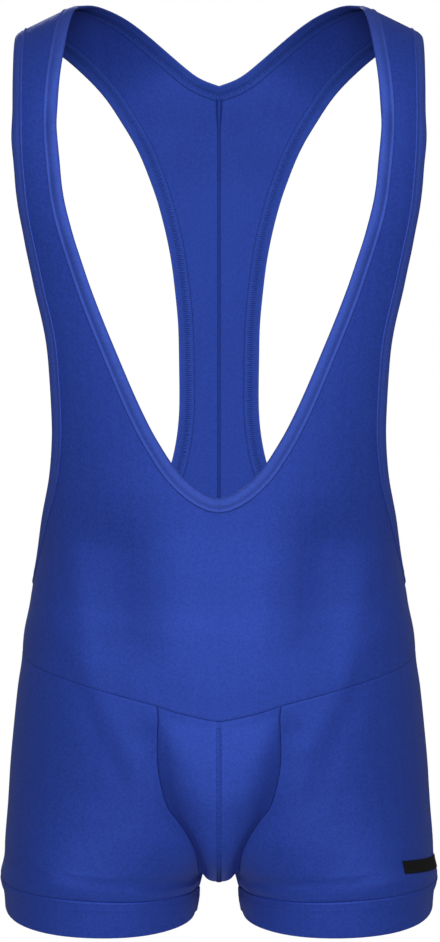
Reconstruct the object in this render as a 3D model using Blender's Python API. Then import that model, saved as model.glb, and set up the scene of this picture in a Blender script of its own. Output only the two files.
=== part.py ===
"""Athletic singlet in stretch cloth, worn, with no wearer: low V neck, racerback, short legs.

Metres, +Z up. The front faces -Y and +X is the wearer's left. The origin lies on the centre plane at
the height where the neck edge crosses the shoulder. The cloth is one surface, a grid of rows and
columns for each panel, and each cut piece is a wall cut out of that surface.
"""

import math

import bmesh
import bpy
from mathutils import Vector
from mathutils.bvhtree import BVHTree

# The cloth.
PANEL_WALL = 0.0012
BINDING_WALL = 0.0024
BINDING_EDGE_WALL = 0.0011
BAND_WALL = 0.0022
BAND_EDGE_WALL = 0.0012
LABEL_WALL = 0.0010
SEAM_GAP = 0.0003
LABEL_GAP = 0.0004
BINDING_WIDTH = 0.011
BINDING_ROUND = 0.003
BINDING_CURL = 0.0015

# The shoulder: a straight ridge that falls outwards, and an arch that carries the cloth over it.
SHOULDER_X = 0.1154
SHOULDER_SLOPE = 0.48
SHOULDER_Y = 0.010
ARCH = 0.090
RIDGE = None

# Columns of the grid: the front half has the pouch's columns first, then the leg's.
FRONT_COLUMNS = 16
POUCH_COLUMNS = 4
BACK_COLUMNS = 10
POUCH_SHARE = 0.2286
ROUNDNESS = 2.3
ROW_SAMPLES = 48

# The general figure that the cloth goes round: half width and the depths of front and back.
FIGURE = (
    # z,      half,   front,  back
    (0.030, 0.2000, 0.0780, 0.0980),
    (-0.050, 0.1990, 0.0820, 0.1060),
    (-0.100, 0.1970, 0.0880, 0.1160),
    (-0.150, 0.1930, 0.1000, 0.1220),
    (-0.200, 0.1850, 0.1080, 0.1220),
    (-0.250, 0.1760, 0.1080, 0.1180),
    (-0.300, 0.1690, 0.1060, 0.1100),
    (-0.350, 0.1625, 0.1020, 0.1000),
    (-0.400, 0.1545, 0.0980, 0.0900),
    (-0.450, 0.1503, 0.0955, 0.0860),
    (-0.497, 0.1560, 0.0960, 0.0920),
    (-0.523, 0.1612, 0.0985, 0.1010),
    (-0.546, 0.1630, 0.1000, 0.1100),
    (-0.563, 0.1657, 0.1010, 0.1160),
    (-0.596, 0.1692, 0.1020, 0.1260),
    (-0.629, 0.1722, 0.1000, 0.1290),
    (-0.662, 0.1742, 0.0960, 0.1240),
    (-0.690, 0.1764, 0.0930, 0.1120),
    (-0.709, 0.1774, 0.0915, 0.1020),
    (-0.718, 0.1804, 0.0915, 0.1000),
    (-0.725, 0.1796, 0.0900, 0.0980),
    (-0.733, 0.1770, 0.0890, 0.0965),
    (-0.745, 0.1758, 0.0880, 0.0950),
    (-0.753, 0.1745, 0.0865, 0.0935),
    (-0.762, 0.1722, 0.0845, 0.0910),
)

# Rows of the front half: where each one starts, at the neck or the centre, and where it ends, at the
# armhole or the side. Row 0 is the shoulder seam, on the ridge, and the last row is the waist seam.
FRONT = (
    # row, x_in,  z_in,    x_out,  z_out
    (0, 0.1264, RIDGE, 0.1600, RIDGE),
    (4, 0.1340, -0.0327, 0.1606, -0.0438),
    (8, 0.1408, -0.1010, 0.1601, -0.1083),
    (12, 0.1354, -0.1650, 0.1558, -0.1680),
    (16, 0.1170, -0.2320, 0.1433, -0.2320),
    (20, 0.0917, -0.2980, 0.1302, -0.2960),
    (24, 0.0629, -0.3620, 0.1273, -0.3560),
    (26, 0.0455, -0.3895, 0.1294, -0.3850),
    (27, 0.0270, -0.4110, 0.1316, -0.3985),
    (28, 0.0000, -0.4245, 0.1348, -0.4120),
    (29, 0.0000, -0.4430, 0.1393, -0.4270),
    (30, 0.0000, -0.4620, 0.1430, -0.4410),
    (31, 0.0000, -0.4815, 0.1466, -0.4545),
    (32, 0.0000, -0.5010, 0.1497, -0.4660),
    (33, 0.0000, -0.5190, 0.1522, -0.4760),
    (34, 0.0000, -0.5370, 0.1543, -0.4836),
    (35, 0.0000, -0.5540, 0.1568, -0.5005),
    (36, 0.0000, -0.5710, 0.1600, -0.5178),
    (37, 0.0000, -0.5890, 0.1620, -0.5350),
)
FRONT_SIDE_ROW = 34

# Rows of the back half, from the shoulder seam down the racerback to the waist seam.
BACK = (
    # row, x_in,  z_in,    x_out,  z_out
    (0, 0.1264, RIDGE, 0.1600, RIDGE),
    (2, 0.1085, -0.0034, 0.1478, -0.0203),
    (5, 0.0824, -0.0129, 0.1190, -0.0337),
    (8, 0.0520, -0.0350, 0.0900, -0.0610),
    (10, 0.0290, -0.0532, 0.0717, -0.0880),
    (11, 0.0145, -0.0622, 0.0626, -0.1035),
    (12, 0.0000, -0.0662, 0.0551, -0.1200),
    (15, 0.0000, -0.1300, 0.0407, -0.1620),
    (18, 0.0000, -0.1900, 0.0307, -0.2100),
    (21, 0.0000, -0.2550, 0.0247, -0.2740),
    (24, 0.0000, -0.3250, 0.0239, -0.3330),
    (26, 0.0000, -0.3700, 0.0284, -0.3740),
    (28, 0.0000, -0.4120, 0.0420, -0.4130),
    (30, 0.0000, -0.4460, 0.0640, -0.4400),
    (32, 0.0000, -0.4760, 0.0900, -0.4600),
    (34, 0.0000, -0.5020, 0.1170, -0.4750),
    (37, 0.0000, -0.5360, 0.1543, -0.4836),
    (38, 0.0000, -0.5490, 0.1568, -0.5005),
    (39, 0.0000, -0.5620, 0.1600, -0.5178),
    (40, 0.0000, -0.5750, 0.1620, -0.5350),
)
BACK_SIDE_ROW = 37

# Rows of the hip and leg below the waist seam. A row starts at the pouch seam, goes round the side and
# ends at the centre back, or on the gusset; from the crotch row down it is a closed ring. The dip is how
# far a row sags between an end and the side, and the lean is 1 where it sags most half way along, and
# less where it sags most near the end.
HIP = (
    # row, ring_x, x_start, z_start, z_side,  z_end,  x_end,  dip,    lean
    (0, 0.0000, 0.0480, -0.5767, -0.5350, -0.5750, 0.0000, 0.0000, 1.0),
    (3, 0.0100, 0.0500, -0.6160, -0.5800, -0.6170, 0.0000, 0.0000, 1.0),
    (6, 0.0300, 0.0430, -0.6560, -0.6260, -0.6580, 0.0000, 0.0000, 0.8),
    (8, 0.0530, 0.0270, -0.6810, -0.6560, -0.6870, 0.0000, 0.0010, 0.6),
    (9, 0.0680, 0.0195, -0.6940, -0.6710, -0.7030, 0.0000, 0.0020, 0.5),
    (10, 0.0830, 0.0165, -0.7060, -0.6850, -0.7160, 0.0000, 0.0035, 0.5),
    (11, 0.0920, 0.0158, -0.7160, -0.6980, -0.7200, 0.0100, 0.0055, 0.5),
    (12, 0.0965, 0.0155, -0.7205, -0.7110, -0.7205, 0.0155, 0.0085, 0.5),
    (13, 0.0970, 0.0155, -0.7345, -0.7218, -0.7345, 0.0155, 0.0055, 1.0),
    (14, 0.0970, 0.0158, -0.7410, -0.7294, -0.7410, 0.0158, 0.0083, 1.0),
    (15, 0.0970, 0.0170, -0.7475, -0.7370, -0.7475, 0.0170, 0.0112, 1.0),
    (16, 0.0965, 0.0200, -0.7533, -0.7445, -0.7533, 0.0200, 0.0140, 1.1),
)
TIP_ROW = 10
CROTCH_ROW = 12
BAND_ROW = 13
HEM_ROW = 16

# The pouch is a shallow cup: how far its centre seam stands forward of, and hangs below, its side seams.
CUP = (
    # row, forward, down
    (0, 0.0025, 0.0123),
    (3, 0.0120, 0.0130),
    (6, 0.0170, 0.0120),
    (8, 0.0170, 0.0110),
    (9, 0.0150, 0.0110),
    (10, 0.0100, 0.0100),
    (11, 0.0040, 0.0070),
    (12, 0.0000, 0.0040),
    (13, 0.0000, 0.0015),
    (14, 0.0000, 0.0000),
)

# The label lies on the outer side of the wearer's left leg, above the band.
LABEL_TOP_COLUMNS = (7.5, 11.6)
LABEL_BOTTOM_COLUMNS = (7.95, 11.6)
LABEL_TOPS = (-0.7025, -0.7052)
LABEL_HEIGHT = 0.0105
LABEL_REACH = 0.010
LABEL_GRID = (16, 4)

PIECES = (
    # name,                  wall,         edge wall
    ("front_body", PANEL_WALL, PANEL_WALL),
    ("back_left", PANEL_WALL, PANEL_WALL),
    ("back_right", PANEL_WALL, PANEL_WALL),
    ("leg_left", PANEL_WALL, PANEL_WALL),
    ("leg_right", PANEL_WALL, PANEL_WALL),
    ("pouch_left", PANEL_WALL, PANEL_WALL),
    ("pouch_right", PANEL_WALL, PANEL_WALL),
    ("neck_binding", BINDING_WALL, BINDING_EDGE_WALL),
    ("armhole_binding_left", BINDING_WALL, BINDING_EDGE_WALL),
    ("armhole_binding_right", BINDING_WALL, BINDING_EDGE_WALL),
    ("leg_band_left", BAND_WALL, BAND_EDGE_WALL),
    ("leg_band_right", BAND_WALL, BAND_EDGE_WALL),
)
NAMES = [piece[0] for piece in PIECES]

BLUE = (0.040, 0.075, 0.420, 1.0)
BINDING_BLUE = (0.052, 0.085, 0.440, 1.0)
BLACK = (0.012, 0.012, 0.013, 1.0)


def clear_scene():
    for item in list(bpy.data.objects):
        bpy.data.objects.remove(item, do_unlink=True)


def cloth_material(name, colour, roughness):
    material = bpy.data.materials.new(name)
    material.use_nodes = True
    shader = material.node_tree.nodes["Principled BSDF"]
    shader.inputs["Base Color"].default_value = colour
    shader.inputs["Roughness"].default_value = roughness
    shader.inputs["Metallic"].default_value = 0.0
    return material


def slopes(xs, ys):
    """The slope at each knot that keeps a curve through them from swinging past them."""
    rises = [(b - a) / (t - s) for s, t, a, b in zip(xs, xs[1:], ys, ys[1:])]
    inner = [2 * a * b / (a + b) if a * b > 0 else 0.0 for a, b in zip(rises, rises[1:])]
    return [rises[0]] + inner + [rises[-1]]


def read(table, column, at):
    """One column of a table, read at a place between its rows by a smooth curve."""
    xs = [row[0] for row in table]
    ys = [row[column] for row in table]
    if xs[0] > xs[-1]:
        xs.reverse()
        ys.reverse()
    at = min(max(at, xs[0]), xs[-1])
    low = max(k for k in range(len(xs) - 1) if xs[k] <= at)
    slope = slopes(xs, ys)
    width = xs[low + 1] - xs[low]
    t = (at - xs[low]) / width
    start = (1 + 2 * t) * (1 - t) ** 2 * ys[low] + t * (1 - t) ** 2 * width * slope[low]
    end = t * t * (3 - 2 * t) * ys[low + 1] + t * t * (t - 1) * width * slope[low + 1]
    return start + end


def half_width(z):
    return read(FIGURE, 1, z)


def depth(side, z):
    return read(FIGURE, 2 if side == "front" else 3, z)


def ridge(x):
    return SHOULDER_SLOPE * (SHOULDER_X - x)


def run_at(x, z):
    """How far down the cloth, from the shoulder ridge, the height z lies."""
    if z is RIDGE:
        return 0.0
    drop = ridge(x) - z
    if drop < ARCH:
        return ARCH * math.acos(1 - drop / ARCH)
    return drop + ARCH * (math.pi / 2 - 1)


def height(x, run):
    if run < ARCH * math.pi / 2:
        return ridge(x) - ARCH * (1 - math.cos(run / ARCH))
    return ridge(x) - run + ARCH * (math.pi / 2 - 1)


def rounded(part):
    """The height of a rounded square of unit size over a place from -1 to 1."""
    return max(1 - min(abs(part), 1.0) ** ROUNDNESS, 0.0) ** (1 / ROUNDNESS)


def over_shoulder(y, run):
    """Draws a depth in to the shoulder's ridge where the cloth arches over it."""
    return SHOULDER_Y + (y - SHOULDER_Y) * math.sin(min(run / ARCH, math.pi / 2))


def spread(points, shares):
    """Points at the given shares of the length of a polyline."""
    lengths = [0.0]
    for a, b in zip(points, points[1:]):
        lengths.append(lengths[-1] + (b - a).length)
    placed = []
    for share in shares:
        at = share * lengths[-1]
        k = max(i for i in range(len(points) - 1) if lengths[i] <= at + 1e-12)
        span = lengths[k + 1] - lengths[k]
        placed.append(points[k].lerp(points[k + 1], min((at - lengths[k]) / span, 1.0)))
    return placed


def angle_at(part):
    """The turn round a rounded square at which its half width is the given part of the whole."""
    return math.copysign(math.asin(min(abs(part), 1.0) ** (ROUNDNESS / 2)), part)


def torso_row(side, table, row, side_row, shares):
    """One row of the front or back, from its inner end to its outer end."""
    ends = []
    for x_column, z_column in ((1, 2), (3, 4)):
        x = read(table, x_column, row)
        runs = [(knot[0], run_at(knot[x_column], knot[z_column])) for knot in table]
        ends.append((x, read(runs, 1, row)))
    (x_in, run_in), (x_out, run_out) = ends
    z_in, z_out = height(x_in, run_in), height(x_out, run_out)
    turn_in = angle_at(x_in / half_width(z_in))
    turn_out = math.pi / 2 if row >= side_row else angle_at(x_out / half_width(z_out))
    forward = -1 if side == "front" else 1
    points = []
    for k in range(ROW_SAMPLES + 1):
        t = k / ROW_SAMPLES
        turn = turn_in + (turn_out - turn_in) * t
        z = z_in + (z_out - z_in) * t
        part = math.sin(turn) ** (2 / ROUNDNESS)
        y = forward * depth(side, z) * rounded(part)
        run = run_in + (run_out - run_in) * t
        points.append(Vector((half_width(z) * part, over_shoulder(y, run), z)))
    placed = spread(points, shares)
    return level(placed, z_in, z_out, shares)


def level(points, z_in, z_out, shares):
    """Gives a row's points a height that changes evenly along it."""
    return [Vector((p.x, p.y, z_in + (z_out - z_in) * s)) for p, s in zip(points, shares)]


def hip_row(row, front_shares, back_shares):
    """One row of the leg panel, from the pouch seam round the side to the centre back."""
    ring_x, x_start, z_start, z_side, z_end, x_end, dip, lean = (
        read(HIP, column, row) for column in range(1, len(HIP[0]))
    )
    closed = row >= CROTCH_ROW

    def arc(side, z_a, z_b, turn_a, turn_b, shares):
        forward = -1 if side == "front" else 1
        points = []
        for k in range(ROW_SAMPLES + 1):
            t = k / ROW_SAMPLES
            turn = turn_a + (turn_b - turn_a) * t
            z = z_a + (z_b - z_a) * t
            part = math.copysign(abs(math.sin(turn)) ** (2 / ROUNDNESS), turn)
            x = ring_x + (half_width(z) - ring_x) * part
            points.append(Vector((x, forward * depth(side, z) * rounded(part), z)))
        return level(spread(points, shares), z_a, z_b, shares)

    def inner_turn(x, z):
        part = (x - ring_x) / (half_width(z) - ring_x)
        return -math.pi / 2 if closed else angle_at(part)

    right = math.pi / 2
    front = arc("front", z_start, z_side, inner_turn(x_start, z_start), right, front_shares)
    back = arc("back", z_end, z_side, inner_turn(x_end, z_end), right, back_shares)
    for points in (front, back):
        for point, share in zip(points, front_shares if points is front else back_shares):
            point.z -= dip * math.sin(math.pi * share**lean)
    if closed:
        inner = front[0].lerp(back[0], 0.5)
        inner.x = x_start
        front[0] = inner.copy()
        back[0] = inner.copy()
    else:
        front[0].x = x_start
        back[0].x = x_end
    return front + back[-2::-1]


def even(columns):
    return [k / columns for k in range(columns + 1)]


def front_shares():
    """Column places on the front half: the pouch's top edge, then the leg's."""
    pouch = [POUCH_SHARE * k / POUCH_COLUMNS for k in range(POUCH_COLUMNS)]
    rest = FRONT_COLUMNS - POUCH_COLUMNS
    return pouch + [POUCH_SHARE + (1 - POUCH_SHARE) * k / rest for k in range(rest + 1)]


def pouch_rows(leg, waist):
    """Rows of the left half of the pouch, from the waist seam down and back to the gusset's point."""
    edges = [leg[row][0] for row in range(CROTCH_ROW + 1)]
    edges += [leg[row][-1] for row in range(CROTCH_ROW - 1, TIP_ROW - 1, -1)]
    rows = [waist]
    for row in range(1, len(edges)):
        edge = edges[row]
        forward, down = read(CUP, 1, row), read(CUP, 2, row)
        points = []
        for k in range(POUCH_COLUMNS + 1):
            part = k / POUCH_COLUMNS
            bow = 1 - part * part
            points.append(Vector((edge.x * part, edge.y - forward * bow, edge.z - down * bow)))
        rows.append(points)
    return rows


def mirrored(rows):
    return [[Vector((-p.x, p.y, p.z)) for p in row] for row in rows]


def add_grid(surface, rows, name, flip):
    """Adds the faces between rows of points, marked with the piece that they belong to."""
    corners = [[surface.verts.new(p) for p in row] for row in rows]
    for upper, lower in zip(corners, corners[1:]):
        for k in range(len(upper) - 1):
            loop = [upper[k], lower[k], lower[k + 1], upper[k + 1]]
            face = surface.faces.new(loop[::-1] if flip else loop)
            face.material_index = NAMES.index(name)


def add_sides(surface, rows, left, right, flip):
    add_grid(surface, rows, left, flip)
    add_grid(surface, mirrored(rows), right, not flip)


def weld(surface):
    bmesh.ops.remove_doubles(surface, verts=surface.verts, dist=1e-6)
    surface.normal_update()


def vertex_at(surface, point):
    return min(surface.verts, key=lambda v: (v.co - point).length_squared)


def binding_strip(surface, path, closed):
    """Rows of a strip that carries the cloth on past its edge, square to the edge and curled inwards."""
    normals = [vertex_at(surface, p).normal.copy() for p in path]
    count = len(path)
    rows = []
    for k, point in enumerate(path):
        before = path[k - 1] if closed or k > 0 else path[k]
        after = path[(k + 1) % count] if closed or k < count - 1 else path[k]
        arms = [(point - before), (after - point)]
        outs = [normals[k].cross(arm).normalized() for arm in arms if arm.length > 1e-9]
        out = sum(outs, Vector())
        out = out / (1 + outs[0].dot(outs[1])) if len(outs) == 2 else out
        if abs(point.x) < 1e-9:
            out = centre_out(outs)
        flat = BINDING_WIDTH - BINDING_ROUND
        curl = normals[k] * BINDING_CURL
        flat_end = point + out * flat - curl * (flat / BINDING_WIDTH) ** 2
        rows.append([point, flat_end, point + out * BINDING_WIDTH - curl])
    if closed:
        rows.append([p.copy() for p in rows[0]])
    return rows


def centre_out(outs):
    """At the centre plane a strip meets its mirror image, so its end is mitred there."""
    out = outs[0].copy()
    flat = Vector((0.0, out.y, out.z))
    return flat / flat.length_squared


def note_points(surface):
    """Keeps each point's normal, which both walls at a seam share, and whether its edge is free."""
    normals = surface.verts.layers.float_vector.new("cloth_normal")
    free = surface.verts.layers.int.new("free_edge")
    for vert in surface.verts:
        vert[normals] = vert.normal
        vert[free] = vert.is_boundary
        if abs(vert.co.y - SHOULDER_Y) < 1e-5 and vert.co.z > -ARCH / 2:
            vert[normals] = Vector((vert.normal.x, 0.0, vert.normal.z)).normalized()


def cut_piece(surface, index):
    """A copy of the surface with only one piece's faces, cut open along its marked joins."""
    piece = surface.copy()
    others = [face for face in piece.faces if face.material_index != index]
    bmesh.ops.delete(piece, geom=others, context="FACES")
    joins = [edge for edge in piece.edges if edge.seam and len(edge.link_faces) == 2]
    if joins:
        bmesh.ops.split_edges(piece, edges=joins)
    return piece


def inset_at(vert):
    """How a point on the cut edge of a piece moves in, to leave half of the seam's gap."""
    inward = []
    for edge in vert.link_edges:
        if len(edge.link_faces) != 1:
            continue
        face = edge.link_faces[0]
        along = (edge.verts[1].co - edge.verts[0].co).normalized()
        side = face.normal.cross(along).normalized()
        middle = face.calc_center_median() - edge.verts[0].co
        inward.append(side if side.dot(middle) > 0 else -side)
    if len(inward) < 2:
        return Vector()
    total = inward[0] + inward[1]
    return total * (SEAM_GAP / 2 / max(1 + inward[0].dot(inward[1]), 0.05))


def wall_object(name, piece, wall, edge_wall, material):
    """Gives a piece of the surface its thickness, as one closed mesh, thinner at a free edge."""
    piece.normal_update()
    normals = piece.verts.layers.float_vector["cloth_normal"]
    free = piece.verts.layers.int["free_edge"]
    piece.verts.ensure_lookup_table()
    piece.verts.index_update()
    count = len(piece.verts)
    outer, inner = [], []
    for vert in piece.verts:
        half = (edge_wall if vert[free] else wall) / 2
        place = vert.co + inset_at(vert)
        normal = Vector(vert[normals]).normalized()
        outer.append(place + normal * half)
        inner.append(place - normal * half)
    faces = []
    for face in piece.faces:
        ring = [vert.index for vert in face.verts]
        faces.append(ring)
        faces.append([k + count for k in reversed(ring)])
        for a, b in zip(ring, ring[1:] + ring[:1]):
            edge = piece.edges.get((piece.verts[a], piece.verts[b]))
            if len(edge.link_faces) == 1:
                faces.append([b, a, a + count, b + count])
    mesh = bpy.data.meshes.new(name)
    mesh.from_pydata([tuple(p) for p in outer + inner], [], faces)
    mesh.materials.append(material)
    mesh.shade_smooth()
    mesh.set_sharp_from_angle(angle=math.radians(40))
    thing = bpy.data.objects.new(name, mesh)
    bpy.context.scene.collection.objects.link(thing)
    return thing


def between(ends, share):
    return ends[0] + (ends[1] - ends[0]) * share


def label_rows(leg):
    """Points over the label, read from the leg panel's own rows and columns."""

    def on_panel(column, z):
        low = min(int(column), len(leg[0]) - 2)
        line = [row[low].lerp(row[low + 1], column - low) for row in leg[: BAND_ROW + 1]]
        upper, lower = next((a, b) for a, b in zip(line, line[1:]) if a.z >= z >= b.z)
        return upper.lerp(lower, (upper.z - z) / (upper.z - lower.z))

    rows = []
    for down in even(LABEL_GRID[1]):
        row = []
        for along in even(LABEL_GRID[0]):
            top, bottom = between(LABEL_TOP_COLUMNS, along), between(LABEL_BOTTOM_COLUMNS, along)
            z = between(LABEL_TOPS, along) - LABEL_HEIGHT * down
            row.append(on_panel(between((top, bottom), down), z))
        rows.append(row)
    return rows


def add_label(leg, panel, material):
    """A woven strip that lies on the panel's outer side, each of its points just clear of it."""
    patch = bmesh.new()
    add_grid(patch, label_rows(leg), "leg_left", False)
    patch.normal_update()
    note_points(patch)
    outside = BVHTree.FromObject(panel, bpy.context.evaluated_depsgraph_get())
    for vert in patch.verts:
        start = vert.co + vert.normal * LABEL_REACH
        place = outside.ray_cast(start, -vert.normal)[0]
        vert.co = place + vert.normal * (LABEL_GAP + LABEL_WALL / 2)
    wall_object("label", patch, LABEL_WALL, LABEL_WALL, material)


def build():
    clear_scene()
    shares = front_shares()
    back_even = even(BACK_COLUMNS)
    front = [torso_row("front", FRONT, row, FRONT_SIDE_ROW, shares) for row in range(FRONT[-1][0] + 1)]
    back = [torso_row("back", BACK, row, BACK_SIDE_ROW, back_even) for row in range(BACK[-1][0] + 1)]
    leg_shares = even(FRONT_COLUMNS - POUCH_COLUMNS)
    leg = [front[-1][POUCH_COLUMNS:] + back[-1][-2::-1]]
    leg += [hip_row(row, leg_shares, back_even) for row in range(1, HEM_ROW + 1)]
    pouch = pouch_rows(leg, front[-1][: POUCH_COLUMNS + 1])

    surface = bmesh.new()
    add_sides(surface, front, "front_body", "front_body", False)
    add_sides(surface, back, "back_left", "back_right", True)
    add_sides(surface, leg[: BAND_ROW + 1], "leg_left", "leg_right", False)
    add_sides(surface, leg[BAND_ROW:], "leg_band_left", "leg_band_right", False)
    add_sides(surface, pouch, "pouch_left", "pouch_right", False)
    weld(surface)

    neck_point = next(k for k, row in enumerate(front) if row[0].x < 1e-9)
    back_point = next(k for k, row in enumerate(back) if row[0].x < 1e-9)
    neck = [front[row][0] for row in range(neck_point, 0, -1)]
    neck += [back[row][0] for row in range(back_point + 1)]
    armhole = [back[row][-1] for row in range(BACK_SIDE_ROW, 0, -1)]
    armhole += [front[row][-1] for row in range(FRONT_SIDE_ROW)]
    add_sides(surface, binding_strip(surface, neck, False), "neck_binding", "neck_binding", False)
    strip = binding_strip(surface, armhole, True)
    add_sides(surface, strip, "armhole_binding_left", "armhole_binding_right", False)
    weld(surface)
    note_points(surface)

    for edge in surface.edges:
        binding = all(f.material_index == NAMES.index("neck_binding") for f in edge.link_faces)
        centred = all(abs(v.co.x) < 1e-6 for v in edge.verts)
        edge.seam = binding and centred and edge.verts[0].co.y < 0

    blue = cloth_material("stretch_cloth", BLUE, 0.45)
    binding_blue = cloth_material("binding_cloth", BINDING_BLUE, 0.5)
    black = cloth_material("label_weave", BLACK, 0.7)
    made = {}
    for index, (name, wall, edge_wall) in enumerate(PIECES):
        piece = cut_piece(surface, index)
        material = binding_blue if "binding" in name or "band" in name else blue
        made[name] = wall_object(name, piece, wall, edge_wall, material)
    add_label(leg, made["leg_left"], black)


build()
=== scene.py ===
# %% [markdown]
# # An athletic singlet in satin stretch knit
#
# The imported model gives thirteen plain walls, one for each piece that a maker would cut: front, two
# backs, two legs, a pouch in two halves, a binding for the neck and one for each armhole, a doubled
# band for each leg, and a label. This notebook puts finer cloth in their places. First it loads the
# walls. The finished garment has to stay inside it.

# %% Load the imported model
import bisect
import math

import bmesh
import bpy
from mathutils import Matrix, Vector


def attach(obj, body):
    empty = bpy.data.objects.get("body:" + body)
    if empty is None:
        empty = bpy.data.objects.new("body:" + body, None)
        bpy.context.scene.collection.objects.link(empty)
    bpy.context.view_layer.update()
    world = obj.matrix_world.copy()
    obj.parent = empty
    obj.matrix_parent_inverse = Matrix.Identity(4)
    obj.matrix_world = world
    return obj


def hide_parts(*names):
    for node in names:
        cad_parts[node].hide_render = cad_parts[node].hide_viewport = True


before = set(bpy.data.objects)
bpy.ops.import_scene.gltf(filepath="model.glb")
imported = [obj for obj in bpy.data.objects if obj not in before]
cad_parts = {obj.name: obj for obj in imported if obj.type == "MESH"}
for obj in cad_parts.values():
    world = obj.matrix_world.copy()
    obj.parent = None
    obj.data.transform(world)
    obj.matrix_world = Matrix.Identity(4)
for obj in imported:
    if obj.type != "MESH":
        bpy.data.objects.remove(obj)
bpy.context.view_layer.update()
BODY = "root"
MM = 0.001
print("walls to dress:", sorted(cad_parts))

# %% [markdown]
# The camera comes early, so that every test render is framed like the photograph. The view is level
# and straight on. A long lens from a few steps away keeps the near and far edges of the garment almost
# the same size, and the lens in millimetres follows from its length in pixels.

# %% Camera
PHOTO_WIDTH, PHOTO_HEIGHT = 440, 942
CENTRE_PX = 219
LENS_PX = 2892
SENSOR = 36.0
CAMERA_DISTANCE = 2.4
EYE_HEIGHT = -0.389

camera_data = bpy.data.cameras.new("camera")
camera_data.sensor_width = SENSOR
camera_data.lens = LENS_PX * SENSOR / PHOTO_HEIGHT
camera = bpy.data.objects.new("camera", camera_data)
aside = (PHOTO_WIDTH / 2 - CENTRE_PX) * CAMERA_DISTANCE / LENS_PX
camera.location = (aside, -CAMERA_DISTANCE, EYE_HEIGHT)
camera.rotation_euler = (math.radians(90), 0, 0)
bpy.context.scene.collection.objects.link(camera)
bpy.context.scene.camera = camera
print("lens, mm:", round(camera_data.lens, 1))

# %% [markdown]
# ## The form of the cloth
#
# Stretch cloth that is worn follows a smooth hollow form. It could be sculpted or simulated, but a
# few short tables say it better, because each number is a real size of the garment. The first table is
# a general figure: half its width and its depth to the front and back at each height. The next ones
# say where each row of a panel starts and ends. They hold the same sizes as the walls do.

# %% Sizes of the figure and the panels
SHOULDER_X = 0.1154
SHOULDER_SLOPE = 0.48
SHOULDER_Y = 0.010
ARCH = 0.090
RIDGE = None
ROUNDNESS = 2.3
POUCH_SHARE = 0.2286

FIGURE = (
    # z,      half,   front,  back
    (0.030, 0.2000, 0.0780, 0.0980),
    (-0.050, 0.1990, 0.0820, 0.1060),
    (-0.100, 0.1970, 0.0880, 0.1160),
    (-0.150, 0.1930, 0.1000, 0.1220),
    (-0.200, 0.1850, 0.1080, 0.1220),
    (-0.250, 0.1760, 0.1080, 0.1180),
    (-0.300, 0.1690, 0.1060, 0.1100),
    (-0.350, 0.1625, 0.1020, 0.1000),
    (-0.400, 0.1545, 0.0980, 0.0900),
    (-0.450, 0.1503, 0.0955, 0.0860),
    (-0.497, 0.1560, 0.0960, 0.0920),
    (-0.523, 0.1612, 0.0985, 0.1010),
    (-0.546, 0.1630, 0.1000, 0.1100),
    (-0.563, 0.1657, 0.1010, 0.1160),
    (-0.596, 0.1692, 0.1020, 0.1260),
    (-0.629, 0.1722, 0.1000, 0.1290),
    (-0.662, 0.1742, 0.0960, 0.1240),
    (-0.690, 0.1764, 0.0930, 0.1120),
    (-0.709, 0.1774, 0.0915, 0.1020),
    (-0.718, 0.1804, 0.0915, 0.1000),
    (-0.725, 0.1796, 0.0900, 0.0980),
    (-0.733, 0.1770, 0.0890, 0.0965),
    (-0.745, 0.1758, 0.0880, 0.0950),
    (-0.753, 0.1745, 0.0865, 0.0935),
    (-0.762, 0.1722, 0.0845, 0.0910),
)

FRONT = (
    # row, x_in,  z_in,    x_out,  z_out
    (0, 0.1264, RIDGE, 0.1600, RIDGE),
    (4, 0.1340, -0.0327, 0.1606, -0.0438),
    (8, 0.1408, -0.1010, 0.1601, -0.1083),
    (12, 0.1354, -0.1650, 0.1558, -0.1680),
    (16, 0.1170, -0.2320, 0.1433, -0.2320),
    (20, 0.0917, -0.2980, 0.1302, -0.2960),
    (24, 0.0629, -0.3620, 0.1273, -0.3560),
    (26, 0.0455, -0.3895, 0.1294, -0.3850),
    (27, 0.0270, -0.4110, 0.1316, -0.3985),
    (28, 0.0000, -0.4245, 0.1348, -0.4120),
    (29, 0.0000, -0.4430, 0.1393, -0.4270),
    (30, 0.0000, -0.4620, 0.1430, -0.4410),
    (31, 0.0000, -0.4815, 0.1466, -0.4545),
    (32, 0.0000, -0.5010, 0.1497, -0.4660),
    (33, 0.0000, -0.5190, 0.1522, -0.4760),
    (34, 0.0000, -0.5370, 0.1543, -0.4836),
    (35, 0.0000, -0.5540, 0.1568, -0.5005),
    (36, 0.0000, -0.5710, 0.1600, -0.5178),
    (37, 0.0000, -0.5890, 0.1620, -0.5350),
)
FRONT_SIDE_ROW = 34

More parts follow.
